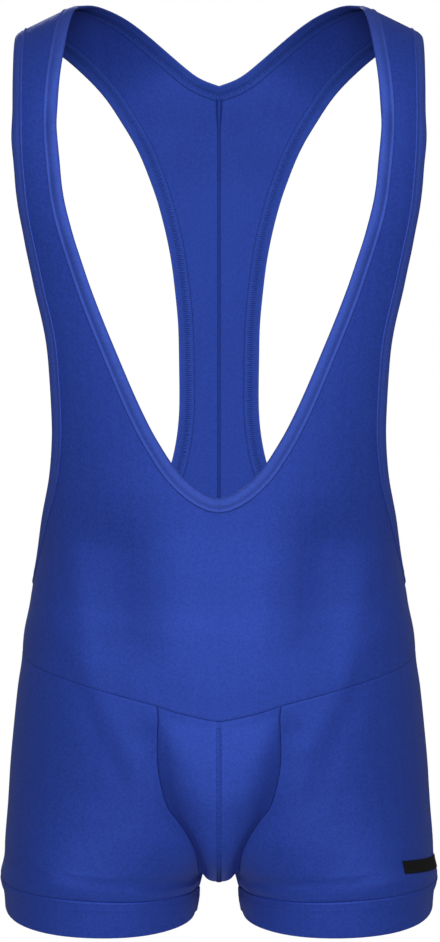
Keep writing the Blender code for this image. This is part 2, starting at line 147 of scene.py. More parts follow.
BACK = (
    # row, x_in,  z_in,    x_out,  z_out
    (0, 0.1264, RIDGE, 0.1600, RIDGE),
    (2, 0.1085, -0.0034, 0.1478, -0.0203),
    (5, 0.0824, -0.0129, 0.1190, -0.0337),
    (8, 0.0520, -0.0350, 0.0900, -0.0610),
    (10, 0.0290, -0.0532, 0.0717, -0.0880),
    (11, 0.0145, -0.0622, 0.0626, -0.1035),
    (12, 0.0000, -0.0662, 0.0551, -0.1200),
    (15, 0.0000, -0.1300, 0.0407, -0.1620),
    (18, 0.0000, -0.1900, 0.0307, -0.2100),
    (21, 0.0000, -0.2550, 0.0247, -0.2740),
    (24, 0.0000, -0.3250, 0.0239, -0.3330),
    (26, 0.0000, -0.3700, 0.0284, -0.3740),
    (28, 0.0000, -0.4120, 0.0420, -0.4130),
    (30, 0.0000, -0.4460, 0.0640, -0.4400),
    (32, 0.0000, -0.4760, 0.0900, -0.4600),
    (34, 0.0000, -0.5020, 0.1170, -0.4750),
    (37, 0.0000, -0.5360, 0.1543, -0.4836),
    (38, 0.0000, -0.5490, 0.1568, -0.5005),
    (39, 0.0000, -0.5620, 0.1600, -0.5178),
    (40, 0.0000, -0.5750, 0.1620, -0.5350),
)
BACK_SIDE_ROW = 37

HIP = (
    # row, ring_x, x_start, z_start, z_side,  z_end,  x_end,  dip,    lean
    (0, 0.0000, 0.0480, -0.5767, -0.5350, -0.5750, 0.0000, 0.0000, 1.0),
    (3, 0.0100, 0.0500, -0.6160, -0.5800, -0.6170, 0.0000, 0.0000, 1.0),
    (6, 0.0300, 0.0430, -0.6560, -0.6260, -0.6580, 0.0000, 0.0000, 0.8),
    (8, 0.0530, 0.0270, -0.6810, -0.6560, -0.6870, 0.0000, 0.0010, 0.6),
    (9, 0.0680, 0.0195, -0.6940, -0.6710, -0.7030, 0.0000, 0.0020, 0.5),
    (10, 0.0830, 0.0165, -0.7060, -0.6850, -0.7160, 0.0000, 0.0035, 0.5),
    (11, 0.0920, 0.0158, -0.7160, -0.6980, -0.7200, 0.0100, 0.0055, 0.5),
    (12, 0.0965, 0.0155, -0.7205, -0.7110, -0.7205, 0.0155, 0.0085, 0.5),
    (13, 0.0970, 0.0155, -0.7345, -0.7218, -0.7345, 0.0155, 0.0055, 1.0),
    (14, 0.0970, 0.0158, -0.7410, -0.7294, -0.7410, 0.0158, 0.0083, 1.0),
    (15, 0.0970, 0.0170, -0.7475, -0.7370, -0.7475, 0.0170, 0.0112, 1.0),
    (16, 0.0965, 0.0200, -0.7533, -0.7445, -0.7533, 0.0200, 0.0140, 1.1),
)
TIP_ROW, CROTCH_ROW, BAND_ROW, HEM_ROW = 10, 12, 13, 16

CUP = (
    # row, forward, down
    (0, 0.0025, 0.0123),
    (3, 0.0120, 0.0130),
    (6, 0.0170, 0.0120),
    (8, 0.0170, 0.0110),
    (9, 0.0150, 0.0110),
    (10, 0.0100, 0.0100),
    (11, 0.0040, 0.0070),
    (12, 0.0000, 0.0040),
    (13, 0.0000, 0.0015),
    (14, 0.0000, 0.0000),
)
print("rows: front", FRONT[-1][0], "back", BACK[-1][0], "leg", HIP[-1][0])

# %% [markdown]
# A table is read between its rows by a smooth curve. A plain spline could swing past its points and
# put a false bulge in the cloth, so each slope here is a careful mean of its two neighbours, which
# keeps the curve between the values on either side.


# %% Read a table smoothly
def clamp(value, low=0.0, high=1.0):
    return min(max(value, low), high)


def smooth_curve(xs, ys):
    pairs = sorted(zip(xs, ys))
    xs = [x for x, _ in pairs]
    ys = [y for _, y in pairs]
    rises = [(b - a) / (t - s) for s, t, a, b in zip(xs, xs[1:], ys, ys[1:])]
    inner = [2 * a * b / (a + b) if a * b > 0 else 0.0 for a, b in zip(rises, rises[1:])]
    slope = [rises[0], *inner, rises[-1]]

    def at(x):
        x = clamp(x, xs[0], xs[-1])
        low = min(bisect.bisect_right(xs, x), len(xs) - 1) - 1
        width = xs[low + 1] - xs[low]
        t = (x - xs[low]) / width
        start = (1 + 2 * t) * (1 - t) ** 2 * ys[low] + t * (1 - t) ** 2 * width * slope[low]
        end = t * t * (3 - 2 * t) * ys[low + 1] + t * t * (t - 1) * width * slope[low + 1]
        return start + end

    return at


def table_curves(table, names):
    columns = list(zip(*table))
    return {name: smooth_curve(columns[0], columns[k + 1]) for k, name in enumerate(names)}


figure = table_curves(FIGURE, ("half", "front", "back"))
hip = table_curves(HIP, ("ring_x", "x_start", "z_start", "z_side", "z_end", "x_end", "dip", "lean"))
cup = table_curves(CUP, ("forward", "down"))
print("half width at the waist:", round(figure["half"](-0.45), 4))

# %% [markdown]
# Over the shoulder the cloth turns from front to back along a ridge. A point there is easier to place
# by how far down the cloth it lies than by its height, so two small functions go from one to the
# other: an arc near the ridge, and a straight fall below it.


# %% Over the shoulder
def ridge_height(x):
    return SHOULDER_SLOPE * (SHOULDER_X - x)


def run_at(x, z):
    if z is RIDGE:
        return 0.0
    drop = ridge_height(x) - z
    if drop < ARCH:
        return ARCH * math.acos(1 - drop / ARCH)
    return drop + ARCH * (math.pi / 2 - 1)


def height_at(x, run):
    if run < ARCH * math.pi / 2:
        return ridge_height(x) - ARCH * (1 - math.cos(run / ARCH))
    return ridge_height(x) - run + ARCH * (math.pi / 2 - 1)


def panel_curves(table):
    rows = [line[0] for line in table]
    curves = {}
    for end, x_column, z_column in (("in", 1, 2), ("out", 3, 4)):
        curves["x_" + end] = smooth_curve(rows, [line[x_column] for line in table])
        runs = [run_at(line[x_column], line[z_column]) for line in table]
        curves["run_" + end] = smooth_curve(rows, runs)
    return curves


print("cloth from the shoulder to the waist seam:", round(panel_curves(FRONT)["run_in"](FRONT[-1][0]), 3))

# %% [markdown]
# Across the body each row is part of a rounded square, a curve between an ellipse and a box. It is
# sampled finely, and its points are then spread evenly along it, so that the grid of the cloth stays
# even. Each point also keeps its place on the flat cloth in metres, across and down, which the knit
# pattern will follow later.

# %% Rows of the torso and the legs
ROW_SAMPLES = 48
FORWARD = {"front": -1, "back": 1}


def rounded(part):
    return max(1 - min(abs(part), 1.0) ** ROUNDNESS, 0.0) ** (1 / ROUNDNESS)


def angle_at(part):
    return math.copysign(math.asin(min(abs(part), 1.0) ** (ROUNDNESS / 2)), part)


def lengths_along(points):
    lengths = [0.0]
    for a, b in zip(points, points[1:]):
        lengths.append(lengths[-1] + (b - a).length)
    return lengths


def spread(points, shares):
    lengths = lengths_along(points)
    placed = []
    for share in shares:
        at = share * lengths[-1]
        k = min(bisect.bisect_right(lengths, at), len(points) - 1) - 1
        placed.append(points[k].lerp(points[k + 1], (at - lengths[k]) / (lengths[k + 1] - lengths[k])))
    return placed, lengths[-1]


def level(points, z_a, z_b, shares):
    return [Vector((p.x, p.y, z_a + (z_b - z_a) * s)) for p, s in zip(points, shares)]


def torso_row(side, curves, row, side_row, shares):
    """A row's points from its inner end to its outer end, and their places on the flat cloth."""
    x_in, run_in, x_out, run_out = (curves[name](row) for name in ("x_in", "run_in", "x_out", "run_out"))
    z_in, z_out = height_at(x_in, run_in), height_at(x_out, run_out)
    turn_in = angle_at(x_in / figure["half"](z_in))
    turn_out = math.pi / 2 if row >= side_row else angle_at(x_out / figure["half"](z_out))
    points = []
    for k in range(ROW_SAMPLES + 1):
        t = k / ROW_SAMPLES
        z = z_in + (z_out - z_in) * t
        part = math.sin(turn_in + (turn_out - turn_in) * t) ** (2 / ROUNDNESS)
        y = FORWARD[side] * figure[side](z) * rounded(part)
        over = math.sin(min((run_in + (run_out - run_in) * t) / ARCH, math.pi / 2))
        points.append(Vector((figure["half"](z) * part, SHOULDER_Y + (y - SHOULDER_Y) * over, z)))
    placed, length = spread(points, shares)
    flat = []
    for s in shares:
        down = ridge_height(x_in + (x_out - x_in) * s) - (run_in + (run_out - run_in) * s)
        flat.append((x_in + length * s, down))
    return level(placed, z_in, z_out, shares), flat


def hip_arc(side, row, z_a, turn_a, shares):
    """Half of a leg row, from its inner end to the side."""
    ring_x, z_side, dip, lean = (hip[name](row) for name in ("ring_x", "z_side", "dip", "lean"))
    points = []
    for k in range(ROW_SAMPLES + 1):
        t = k / ROW_SAMPLES
        turn = turn_a + (math.pi / 2 - turn_a) * t
        z = z_a + (z_side - z_a) * t
        part = math.copysign(abs(math.sin(turn)) ** (2 / ROUNDNESS), turn)
        x = ring_x + (figure["half"](z) - ring_x) * part
        points.append(Vector((x, FORWARD[side] * figure[side](z) * rounded(part), z)))
    placed, length = spread(points, shares)
    placed = level(placed, z_a, z_side, shares)
    for point, share in zip(placed, shares):
        point.z -= dip * math.sin(math.pi * share**lean)
    return placed, length


def hip_row(row, front_shares, back_shares):
    """A leg row from the pouch seam round the side to the centre back, or a closed ring lower down."""
    ring_x = hip["ring_x"](row)
    closing = clamp(row - (CROTCH_ROW - 1))
    ends = []
    for x_name, z_name in (("x_start", "z_start"), ("x_end", "z_end")):
        x, z = hip[x_name](row), hip[z_name](row)
        turn = angle_at((x - ring_x) / (figure["half"](z) - ring_x))
        ends.append((x, z, turn + (-math.pi / 2 - turn) * closing))
    (x_start, z_start, turn_start), (x_end, z_end, turn_end) = ends
    front, front_length = hip_arc("front", row, z_start, turn_start, front_shares)
    back, back_length = hip_arc("back", row, z_end, turn_end, back_shares)
    if row >= CROTCH_ROW:
        inner = front[0].lerp(back[0], 0.5)
        inner.x = x_start
        front[0], back[0] = inner.copy(), inner.copy()
    else:
        front[0].x, back[0].x = x_start, x_end
    flat = [(x_start + front_length * s, z_start) for s in front_shares]
    side = x_start + front_length
    flat += [(side + back_length * (1 - s), z_end) for s in back_shares[-2::-1]]
    return front + back[-2::-1], flat


# %% [markdown]
# The grid is three times finer than the walls' own, and finer still in the leg bands, where a narrow
# ridge has to show. Front and back share the side seam below the armhole, the legs start on the waist
# seam, and the pouch fills the space between them. It is a shallow cup from two flat halves, because
# their centre seam is cut on a curve: the bow across it is a little fuller than a parabola, and fuller
# still at the bottom, where it turns under.

# %% Grids of points
FINE = 3
BAND_FINE = 9
FRONT_COLUMNS = 16 * FINE
POUCH_COLUMNS = 4 * FINE
BACK_COLUMNS = 10 * FINE
BOW_POWER, SEAT_BOW_POWER = 2.5, 3.2
SEAT_START, SEAT_ROWS = 7, 3


def even(count):
    return [k / count for k in range(count + 1)]


def fine_rows(first, last, fine):
    return [first + k / fine for k in range((last - first) * fine + 1)]


front_shares = [POUCH_SHARE * s for s in even(POUCH_COLUMNS)]
front_shares += [POUCH_SHARE + (1 - POUCH_SHARE) * s for s in even(FRONT_COLUMNS - POUCH_COLUMNS)[1:]]
back_shares = even(BACK_COLUMNS)
leg_shares = even(FRONT_COLUMNS - POUCH_COLUMNS)

front_curves, back_curves = panel_curves(FRONT), panel_curves(BACK)
front_rows = fine_rows(0, FRONT[-1][0], FINE)
back_rows = fine_rows(0, BACK[-1][0], FINE)
leg_rows = fine_rows(0, BAND_ROW, FINE) + fine_rows(BAND_ROW, HEM_ROW, BAND_FINE)[1:]
front = [torso_row("front", front_curves, row, FRONT_SIDE_ROW, front_shares) for row in front_rows]
back = [torso_row("back", back_curves, row, BACK_SIDE_ROW, back_shares) for row in back_rows]

side_rows = (FRONT[-1][0] - FRONT_SIDE_ROW) * FINE
for (front_points, _), (back_points, _) in zip(front[-side_rows - 1 :], back[-side_rows - 1 :]):
    back_points[-1] = front_points[-1].copy()

waist_flat = [(x, hip["z_start"](0)) for x, _ in front[-1][1][POUCH_COLUMNS:] + back[-1][1][-2::-1]]
leg = [(front[-1][0][POUCH_COLUMNS:] + back[-1][0][-2::-1], waist_flat)]
leg += [hip_row(row, leg_shares, back_shares) for row in leg_rows[1:]]
BAND_START = leg_rows.index(BAND_ROW)
CROTCH_START = leg_rows.index(CROTCH_ROW)
TIP_START = leg_rows.index(TIP_ROW)


def pouch_grid():
    """Rows of the pouch's left half: its outer edge is the leg's edge, down the front and back again."""
    edges = [leg[k][0][0] for k in range(CROTCH_START + 1)]
    edges += [leg[k][0][-1] for k in range(CROTCH_START - 1, TIP_START - 1, -1)]
    rows = [(front[-1][0][: POUCH_COLUMNS + 1], front[-1][1][: POUCH_COLUMNS + 1])]
    down = rows[0][1][0][1]
    for k in range(1, len(edges)):
        edge = edges[k]
        forward, sag = cup["forward"](k / FINE), cup["down"](k / FINE)
        down -= (edges[k] - edges[k - 1]).length
        lower = clamp((k / FINE - SEAT_START) / SEAT_ROWS)
        power = BOW_POWER + (SEAT_BOW_POWER - BOW_POWER) * lower
        points, flat = [], []
        for part in even(POUCH_COLUMNS):
            bow = 1 - part**power
            points.append(Vector((edge.x * part, edge.y - forward * bow, edge.z - sag * bow)))
            flat.append((edge.x * part, down))
        rows.append((points, flat))
    return rows


pouch = pouch_grid()
print("grid rows: front", len(front), "back", len(back), "leg", len(leg), "pouch", len(pouch))

# %% [markdown]
# All panels go into one mesh before any is cut out. Points that two panels share are made once, so
# the surface runs through every seam without a step. A dictionary from a rounded place to its point
# does this while the faces are made, and the left half is mirrored for the right.

# %% One surface for all panels
PANELS = ("front_body", "back_left", "back_right", "leg_left", "leg_right", "leg_band_left",
          "leg_band_right", "pouch_left", "pouch_right")
KEY_DIGITS = 6

surface = bmesh.new()
flat_layer = surface.loops.layers.uv.new("flat")
shared = {}


def point_at(place):
    key = tuple(round(c, KEY_DIGITS) + 0.0 for c in place)
    if key not in shared:
        shared[key] = surface.verts.new(place)
    return shared[key]


def add_grid(rows, name, flip, mirror=1):
    grid = [[point_at((p.x * mirror, p.y, p.z)) for p in points] for points, _ in rows]
    for r in range(len(rows) - 1):
        for k in range(len(grid[r]) - 1):
            corners = [(r, k), (r + 1, k), (r + 1, k + 1), (r, k + 1)]
            if flip:
                corners.reverse()
            if len({grid[a][b] for a, b in corners}) < len(corners):
                continue
            face = surface.faces.new([grid[a][b] for a, b in corners])
            face.material_index = PANELS.index(name)
            for loop, (a, b) in zip(face.loops, corners):
                across, down = rows[a][1][b]
                loop[flat_layer].uv = (across * mirror, down)
    return grid


def add_both(rows, left, right, flip):
    return add_grid(rows, left, flip), add_grid(rows, right, not flip, -1)


front_grids = add_both(front, "front_body", "front_body", False)
back_grids = add_both(back, "back_left", "back_right", True)
leg_grids = add_both(leg[: BAND_START + 1], "leg_left", "leg_right", False)
band_grids = add_both(leg[BAND_START:], "leg_band_left", "leg_band_right", False)
pouch_grids = add_both(pouch, "pouch_left", "pouch_right", False)
print("surface:", len(surface.verts), "points,", len(surface.faces), "faces")

# %% [markdown]
# Stretched cloth has no sudden bends. Averaging each point with its neighbours smooths the surface,
# but plain averaging also shrinks it, so each pass in is followed by one slightly larger pass out. A
# point on an open edge is averaged along that edge only. The shoulder seam and the middle of the back
# neck stay where they are.

# %% Fair the surface
FAIRING_PASSES = 24
PASS_IN, PASS_OUT = 0.5, -0.52
TOUCHING = 1e-5


def on_shoulder(vert):
    return abs(vert.co.y - SHOULDER_Y) < TOUCHING and vert.co.z > -ARCH / 2


def held(vert):
    """The shoulder seam stays, and so does the middle of the back neck, which keeps its slight point."""
    return on_shoulder(vert) or (vert.is_boundary and abs(vert.co.x) < TOUCHING and vert.co.y > 0)


def fair(passes):
    near = {}
    for vert in surface.verts:
        edges = vert.link_edges
        if vert.is_boundary:
            edges = [edge for edge in edges if edge.is_boundary]
        near[vert] = [] if held(vert) else [edge.other_vert(vert) for edge in edges]
    for share in (PASS_IN, PASS_OUT) * passes:
        moves = {}
        for vert, others in near.items():
            if others:
                mean = sum((other.co for other in others), Vector()) / len(others)
                moves[vert] = vert.co + (mean - vert.co) * share
        for vert, place in moves.items():
            vert.co = place


fair(FAIRING_PASSES)
bmesh.ops.recalc_face_normals(surface, faces=surface.faces)
surface.normal_update()
if sum(vert.normal.y for vert in surface.verts if vert.co.y < 0) > 0:
    bmesh.ops.reverse_faces(surface, faces=surface.faces)
    surface.normal_update()
print("fair surface, half width at the side:", round(max(v.co.x for v in surface.verts), 4))

# %% [markdown]
# A taut singlet has few folds, and they are soft: shallow troughs where the cloth is drawn in at the
# waist, drag lines from the foot of each armhole, and faint ones across the hips. They could come from
# a cloth simulation, but here they are listed one by one. Each is a line in the front or back view, with
# a width and a height, and the surface moves along its own normal by a bell curve round that line. No
# two are alike, because real folds never are.

# %% Soft creases
CREASES = (
    # side,  x0,     z0,      x1,     z1,     width,  height
    (-1, 0.094, -0.452, 0.090, -0.512, 0.0310, -0.0054),
    (-1, -0.091, -0.456, -0.088, -0.518, 0.0320, -0.0052),
    (-1, 0.080, -0.452, 0.070, -0.520, 0.0150, -0.0010),
    (-1, -0.077, -0.458, -0.066, -0.528, 0.0160, -0.0009),
    (-1, 0.121, -0.462, 0.104, -0.548, 0.0110, 0.0010),
    (-1, -0.119, -0.456, -0.106, -0.540, 0.0105, 0.0011),
    (-1, 0.030, -0.672, 0.029, -0.735, 0.0240, -0.0030),
    (-1, -0.031, -0.676, -0.030, -0.738, 0.0250, -0.0029),
    (-1, 0.130, -0.520, 0.070, -0.610, 0.0100, 0.0009),
    (-1, -0.131, -0.515, -0.072, -0.618, 0.0110, 0.0008),
    (-1, 0.118, -0.540, 0.078, -0.650, 0.0085, -0.0008),
    (-1, -0.120, -0.548, -0.075, -0.642, 0.0080, -0.0007),
    (-1, 0.036, -0.470, 0.030, -0.560, 0.0120, 0.0006),
    (-1, -0.030, -0.455, -0.036, -0.548, 0.0130, 0.0005),
    (-1, 0.058, -0.600, 0.034, -0.690, 0.0130, -0.0024),
    (-1, -0.057, -0.604, -0.035, -0.688, 0.0135, -0.0025),
    (-1, 0.110, -0.655, 0.150, -0.690, 0.0075, 0.0007),
    (-1, -0.104, -0.662, -0.148, -0.684, 0.0070, 0.0008),
    (1, 0.060, -0.430, 0.085, -0.520, 0.0140, -0.0013),
    (1, -0.056, -0.436, -0.082, -0.512, 0.0150, -0.0012),
    (1, 0.020, -0.460, 0.034, -0.540, 0.0100, 0.0007),
    (1, -0.024, -0.452, -0.030, -0.530, 0.0095, 0.0008),
    (1, 0.050, -0.640, 0.110, -0.670, 0.0080, 0.0009),
    (1, -0.046, -0.634, -0.112, -0.676, 0.0085, 0.0008),
    (1, 0.040, -0.672, 0.090, -0.700, 0.0065, -0.0008),
    (1, -0.044, -0.668, -0.094, -0.698, 0.0070, -0.0007),
)


def crease_lift(place):
    lift = 0.0
    for side, x0, z0, x1, z1, width, height in CREASES:
        if side * place.y < 0:
            continue
        dx, dz = x1 - x0, z1 - z0
        along = ((place.x - x0) * dx + (place.z - z0) * dz) / (dx * dx + dz * dz)
        along = clamp(along)
        far = math.hypot(place.x - x0 - dx * along, place.z - z0 - dz * along)
        lift += height * math.exp(-((far / width) ** 2))
    return lift


for vert in list(surface.verts):
    if not on_shoulder(vert):
        vert.co += vert.normal * crease_lift(vert.co)
surface.normal_update()
print("creases:", len(CREASES), "deepest, mm:", min(c[-1] for c in CREASES) / MM)

# %% [markdown]
# ## The panels
#
# Every panel is a thin double skin, 0.9 mm thick, a little more than such a knit really is. Along a
# seam the cloth rolls in by 0.1 to 0.6 mm, and this is what makes a seam visible from a distance: two
# round edges with a shadow between them. The roll needs closely spaced points beside the seam, so each
# row and column gets a few more of them there, at fixed distances from the sewn edge.

# %% Dots, rows and columns of a panel
SEAM_POINTS = (0.15 * MM, 0.6 * MM, 1.2 * MM, 2.2 * MM)
ROLL_WIDTH = 2.0 * MM


class Dot:
    """A point of the cloth: its place, the way out of the garment, and its place on the flat cloth."""

    def __init__(self, place, normal, flat, sewn):
        self.place, self.normal, self.flat, self.sewn = place, normal, flat, sewn

    def mix(self, other, share):
        flat = [a + (b - a) * share for a, b in zip(self.flat, other.flat)]
        normal = self.normal.lerp(other.normal, share).normalized()
        return Dot(self.place.lerp(other.place, share), normal, flat, self.sewn)


def outward(vert):
    """The surface's own normal, turned level along the shoulder's ridge."""
    if on_shoulder(vert):
        return Vector((vert.normal.x, 0.0, vert.normal.z)).normalized()
    return vert.normal.copy()


def measure(line):
    return lengths_along([dot.place for dot in line])


def walk(line, lengths, at):
    at = clamp(at, 0.0, lengths[-1])
    k = min(bisect.bisect_right(lengths, at), len(line) - 1) - 1
    step = lengths[k + 1] - lengths[k]
    return line[k].mix(line[k + 1], (at - lengths[k]) / step if step > 0 else 0.0)


def respaced(line, near_start, near_end, keep):
    """A line of dots with extra ones beside its sewn ends. The others keep their places or even out."""
    lengths = measure(line)
    total, count = lengths[-1], len(line) - 1
    squeeze = min(1.0, total / (4 * SEAM_POINTS[-1]))
    close = [d * squeeze for d in SEAM_POINTS]
    start = close if near_start else [0.0]
    end = [total - d for d in reversed(close)] if near_end else [total]
    if keep:
        middle = lengths[1:-1]
    else:
        middle = [start[-1] + (end[0] - start[-1]) * k / count for k in range(1, count)]
    return [walk(line, lengths, at) for at in start + middle + end]


def panel_dots(grid, rows, mirror, start, end, rolls):
    """The dots of one panel. Start and end give the row from which each end of a row is sewn, or None
    for no sewn edge. Rolls are how deep, in mm, the cloth rolls in at the first row, the last row, the
    start and the end of a row, with None for an edge that isn't sewn."""
    top, bottom, first_side, last_side = rolls
    lines = []
    for r, (verts, (_, flats)) in enumerate(zip(grid, rows)):
        sewn = (start is not None and r >= start, end is not None and r >= end)
        line = [Dot(v.co.copy(), outward(v), (f[0] * mirror, f[1]), sewn) for v, f in zip(verts, flats)]
        lines.append(respaced(line, start is not None, end is not None, False))
    columns = [respaced(column, top is not None, bottom is not None, True) for column in zip(*lines)]
    for column in columns:
        lengths = measure(column)
        for dot, at in zip(column, lengths):
            dot.first, dot.last = at, lengths[-1] - at
    lines = [list(row) for row in zip(*columns)]
    for line in lines:
        lengths = measure(line)
        for dot, at in zip(line, lengths):
            near = [(dot.first, top), (dot.last, bottom)]
            near += [(at, first_side)] if dot.sewn[0] else []
            near += [(lengths[-1] - at, last_side)] if dot.sewn[1] else []
            depths = [(depth or 0.0) * (1 - min(far / ROLL_WIDTH, 1.0)) ** 2 for far, depth in near]
            dot.roll = max(depths) * MM
    return lines


NECK_ROW, BACK_NECK_ROW = 28 * FINE, 12 * FINE
FRONT_ROLLS = (0.45, 0.26, None, 0.40)
BACK_ROLLS = (0.45, 0.26, 0.40, 0.40)
LEG_ROLLS = (0.30, 0.42, 0.42, 0.45)
POUCH_ROLLS = (0.30, None, 0.10, 0.60)
BAND_ROLLS = (0.40, None, 0.45, 0.45)
leg_part, band_part = leg[: BAND_START + 1], leg[BAND_START:]
panel_grids = {
    "front_body": [panel_dots(g, front, m, None, FRONT_SIDE_ROW * FINE, FRONT_ROLLS)
                   for g, m in zip(front_grids, (1, -1))],
}
for side, mirror, k in (("left", 1, 0), ("right", -1, 1)):
    panel_grids["back_" + side] = [
        panel_dots(back_grids[k], back, mirror, BACK_NECK_ROW, BACK_SIDE_ROW * FINE, BACK_ROLLS)]
    panel_grids["leg_" + side] = [panel_dots(leg_grids[k], leg_part, mirror, 0, 0, LEG_ROLLS)]
    panel_grids["pouch_" + side] = [panel_dots(pouch_grids[k], pouch, mirror, 0, 0, POUCH_ROLLS)]
    panel_grids["leg_band_" + side] = [panel_dots(band_grids[k], band_part, mirror, 0, 0, BAND_ROLLS)]
for name, grids in panel_grids.items():
    print(name, len(grids), "grid of", len(grids[0]), "rows,", len(grids[0][0]), "columns")

# %% [markdown]
# A skin is pushed out from the surface and another one in, and a narrow rim closes them along every
# open edge. A Solidify modifier does nearly the same. Here each dot's own lift is used instead, so that
# the cloth can roll in at a seam, and so that two panels still meet exactly.

# %% Build a double skin
CLOTH_HALF = 0.45 * MM
WELD_DIGITS = 5
SHELL_BEND, STRIP_BEND = 60, 75


def cloth_lift(dot):
    return CLOTH_HALF - dot.roll, -CLOTH_HALF - dot.roll


def new_object(name, mesh):
    thing = bpy.data.objects.new(name, mesh)
    bpy.context.scene.collection.objects.link(thing)
    return thing


def finished_object(name, build, bend):
    """A smooth object from a mesh, whose edges stay sharp where they turn by more than the bend."""
    mesh = bpy.data.meshes.new(name)
    build.to_mesh(mesh)
    mesh.shade_smooth()
    mesh.set_sharp_from_angle(angle=math.radians(bend))
    return new_object(name, mesh)


def make_shell(name, grids, lift):
    shell = bmesh.new()
    flats = shell.loops.layers.uv.new("flat")
    made, partner, flat_of = {}, {}, {}

    def pair(dot):
        key = tuple(round(c, WELD_DIGITS) + 0.0 for c in dot.place)
        if key not in made:
            outer, inner = lift(dot)
            made[key] = (shell.verts.new(dot.place + dot.normal * outer),
                         shell.verts.new(dot.place + dot.normal * inner))
            partner[made[key][0]] = made[key][1]
            flat_of[made[key][0]] = flat_of[made[key][1]] = dot.flat
        return made[key]

    for rows in grids:
        pairs = [[pair(dot) for dot in row] for row in rows]
        a, b, c = rows[1][1].place, rows[2][1].place, rows[1][2].place
        turned = (b - a).cross(c - a).dot(rows[1][1].normal) < 0
        for r in range(len(rows) - 1):
            for k in range(len(rows[0]) - 1):
                spots = [(r, k), (r + 1, k), (r + 1, k + 1), (r, k + 1)]
                if turned:
                    spots.reverse()
                for skin in (0, 1):
                    ring = [pairs[i][j][skin] for i, j in spots]
                    places = [rows[i][j].flat for i, j in spots]
                    if len(set(ring)) < len(ring):
                        continue
                    if skin:
                        ring.reverse()
                        places.reverse()
                    face = shell.faces.new(ring)
                    face.material_index = skin
                    for loop, flat in zip(face.loops, places):
                        loop[flats].uv = flat
    rims = [edge for edge in shell.edges if edge.is_boundary and all(v in partner for v in edge.verts)]
    for edge in rims:
        loop = edge.link_loops[0]
        a, b = loop.vert, loop.link_loop_next.vert
        face = shell.faces.new((b, a, partner[a], partner[b]))
        for loop in face.loops:
            loop[flats].uv = flat_of[loop.vert]
    return finished_object(name, shell, SHELL_BEND)


pieces = {}
for name, grids in panel_grids.items():
    if "band" not in name:
        pieces[name] = make_shell(name, grids, cloth_lift)
        print(name, len(pieces[name].data.polygons), "faces")

# %% [markdown]
# The leg bands are the same cloth folded double, so they are thicker and a little stiffer. Under the
# seam a band stands out from the leg, a faint ridge runs round its middle where the inner layer ends,
# and the fold at the hem is round. All of that is one curve: how far the skin stands out at each
# distance from the seam.

# %% Leg bands
BAND_HALF = 0.95 * MM
BAND_JOIN_ROLL = 0.5 * MM
HEM_POINTS = (1.0, 0.6, 0.3, 0.12, 0.0)
LEAST_FULLNESS = 0.0015
BAND_PROFILE = (
    # distance from the seam, outside, inside, in mm
    (0.0, 0.10, -0.80),
    (0.6, 0.60, -0.95),
    (1.6, 0.98, -1.00),
    (3.2, 0.92, -0.95),
    (6.5, 0.95, -0.95),
    (7.8, 1.10, -0.95),
    (9.0, 0.95, -0.95),
    (12.0, 0.95, -0.95),
    (40.0, 0.95, -0.95),
)
band = table_curves(BAND_PROFILE, ("outside", "inside"))


def band_lift(dot):
    fold = min(dot.last / BAND_HALF, 1.0)
    fullness = math.sqrt(max(1 - (1 - fold) ** 2, LEAST_FULLNESS))
    seam = dot.first / MM
    dent = BAND_JOIN_ROLL * (1 - min(dot.start_end / ROLL_WIDTH, 1.0)) ** 2
    return tuple((band[skin](seam) * MM - dent) * fullness for skin in ("outside", "inside"))


for side in ("left", "right"):
    name = "leg_band_" + side
    rows = panel_grids[name][0]
    for line in rows:
        lengths = measure(line)
        for dot, at in zip(line, lengths):
            dot.start_end = min(at, lengths[-1] - at)
    columns = []
    for column in zip(*rows):
        lengths = measure(column)
        total = lengths[-1]
        stops = lengths[:-3] + [total - d * MM for d in HEM_POINTS]
        fresh = [walk(column, lengths, at) for at in stops]
        for dot, at in zip(fresh, stops):
            dot.first, dot.last, dot.start_end = at, total - at, column[0].start_end
        columns.append(fresh)
    panel_grids[name] = [[list(row) for row in zip(*columns)]]
    pieces[name] = make_shell(name, panel_grids[name], band_lift)
    print(name, len(pieces[name].data.polygons), "faces")

# %% [markdown]
# ## Strips that follow an edge
#
# Bindings, seam tapes and rows of stitches all follow an edge of the cloth. Each needs the same frame at
# every point: the way along, the way out of the cloth, and the way across, square to both. A curve with
# a bevel would twist at the corners, so the frame is taken from the surface's own normal. The further a
# strip reaches past its edge, the more it curls in, as a stretched binding does.

# %% Frames along an edge
JOIN_POINTS = ((0.15, 0.72), (0.5, 0.92), (1.0, 1.0))
CURL = 1.5
CURL_ACROSS = 11.0


class Spot:
    """A place on an edge: the point, the way out of the cloth, the way across, and the length so far."""

    def __init__(self, place, up, across, run):
        self.place, self.up, self.across, self.run = place, up, across, run

    def at(self, across, lift, size=1.0):
        curled = lift * size - CURL * max(across / CURL_ACROSS, 0.0) ** 2
        return self.place + (self.across * (across * size) + self.up * curled) * MM


def spots_on(verts, closed=False, mitred=False):
    points = [(vert.co.copy(), outward(vert)) for vert in verts]
    count = len(points)
    spots, run = [], 0.0
    for k, (place, up) in enumerate(points):
        before = points[k - 1][0] if closed or k else place
        after = points[(k + 1) % count][0] if closed or k < count - 1 else place
        arms = [arm for arm in (place - before, after - place) if arm.length > 0]
        sides = [up.cross(arm).normalized() for arm in arms]
        across = sum(sides, Vector())
        if len(sides) == 2:
            across /= 1 + sides[0].dot(sides[1])
        elif mitred:
            level_side = Vector((0.0, across.y, across.z))
            across = level_side / level_side.length_squared
        run += (place - before).length if k else 0.0
        spots.append(Spot(place, up, across, run))
    if closed:
        first = spots[0]
        run += (first.place - spots[-1].place).length
        spots.append(Spot(first.place, first.up, first.across, run))
    return spots


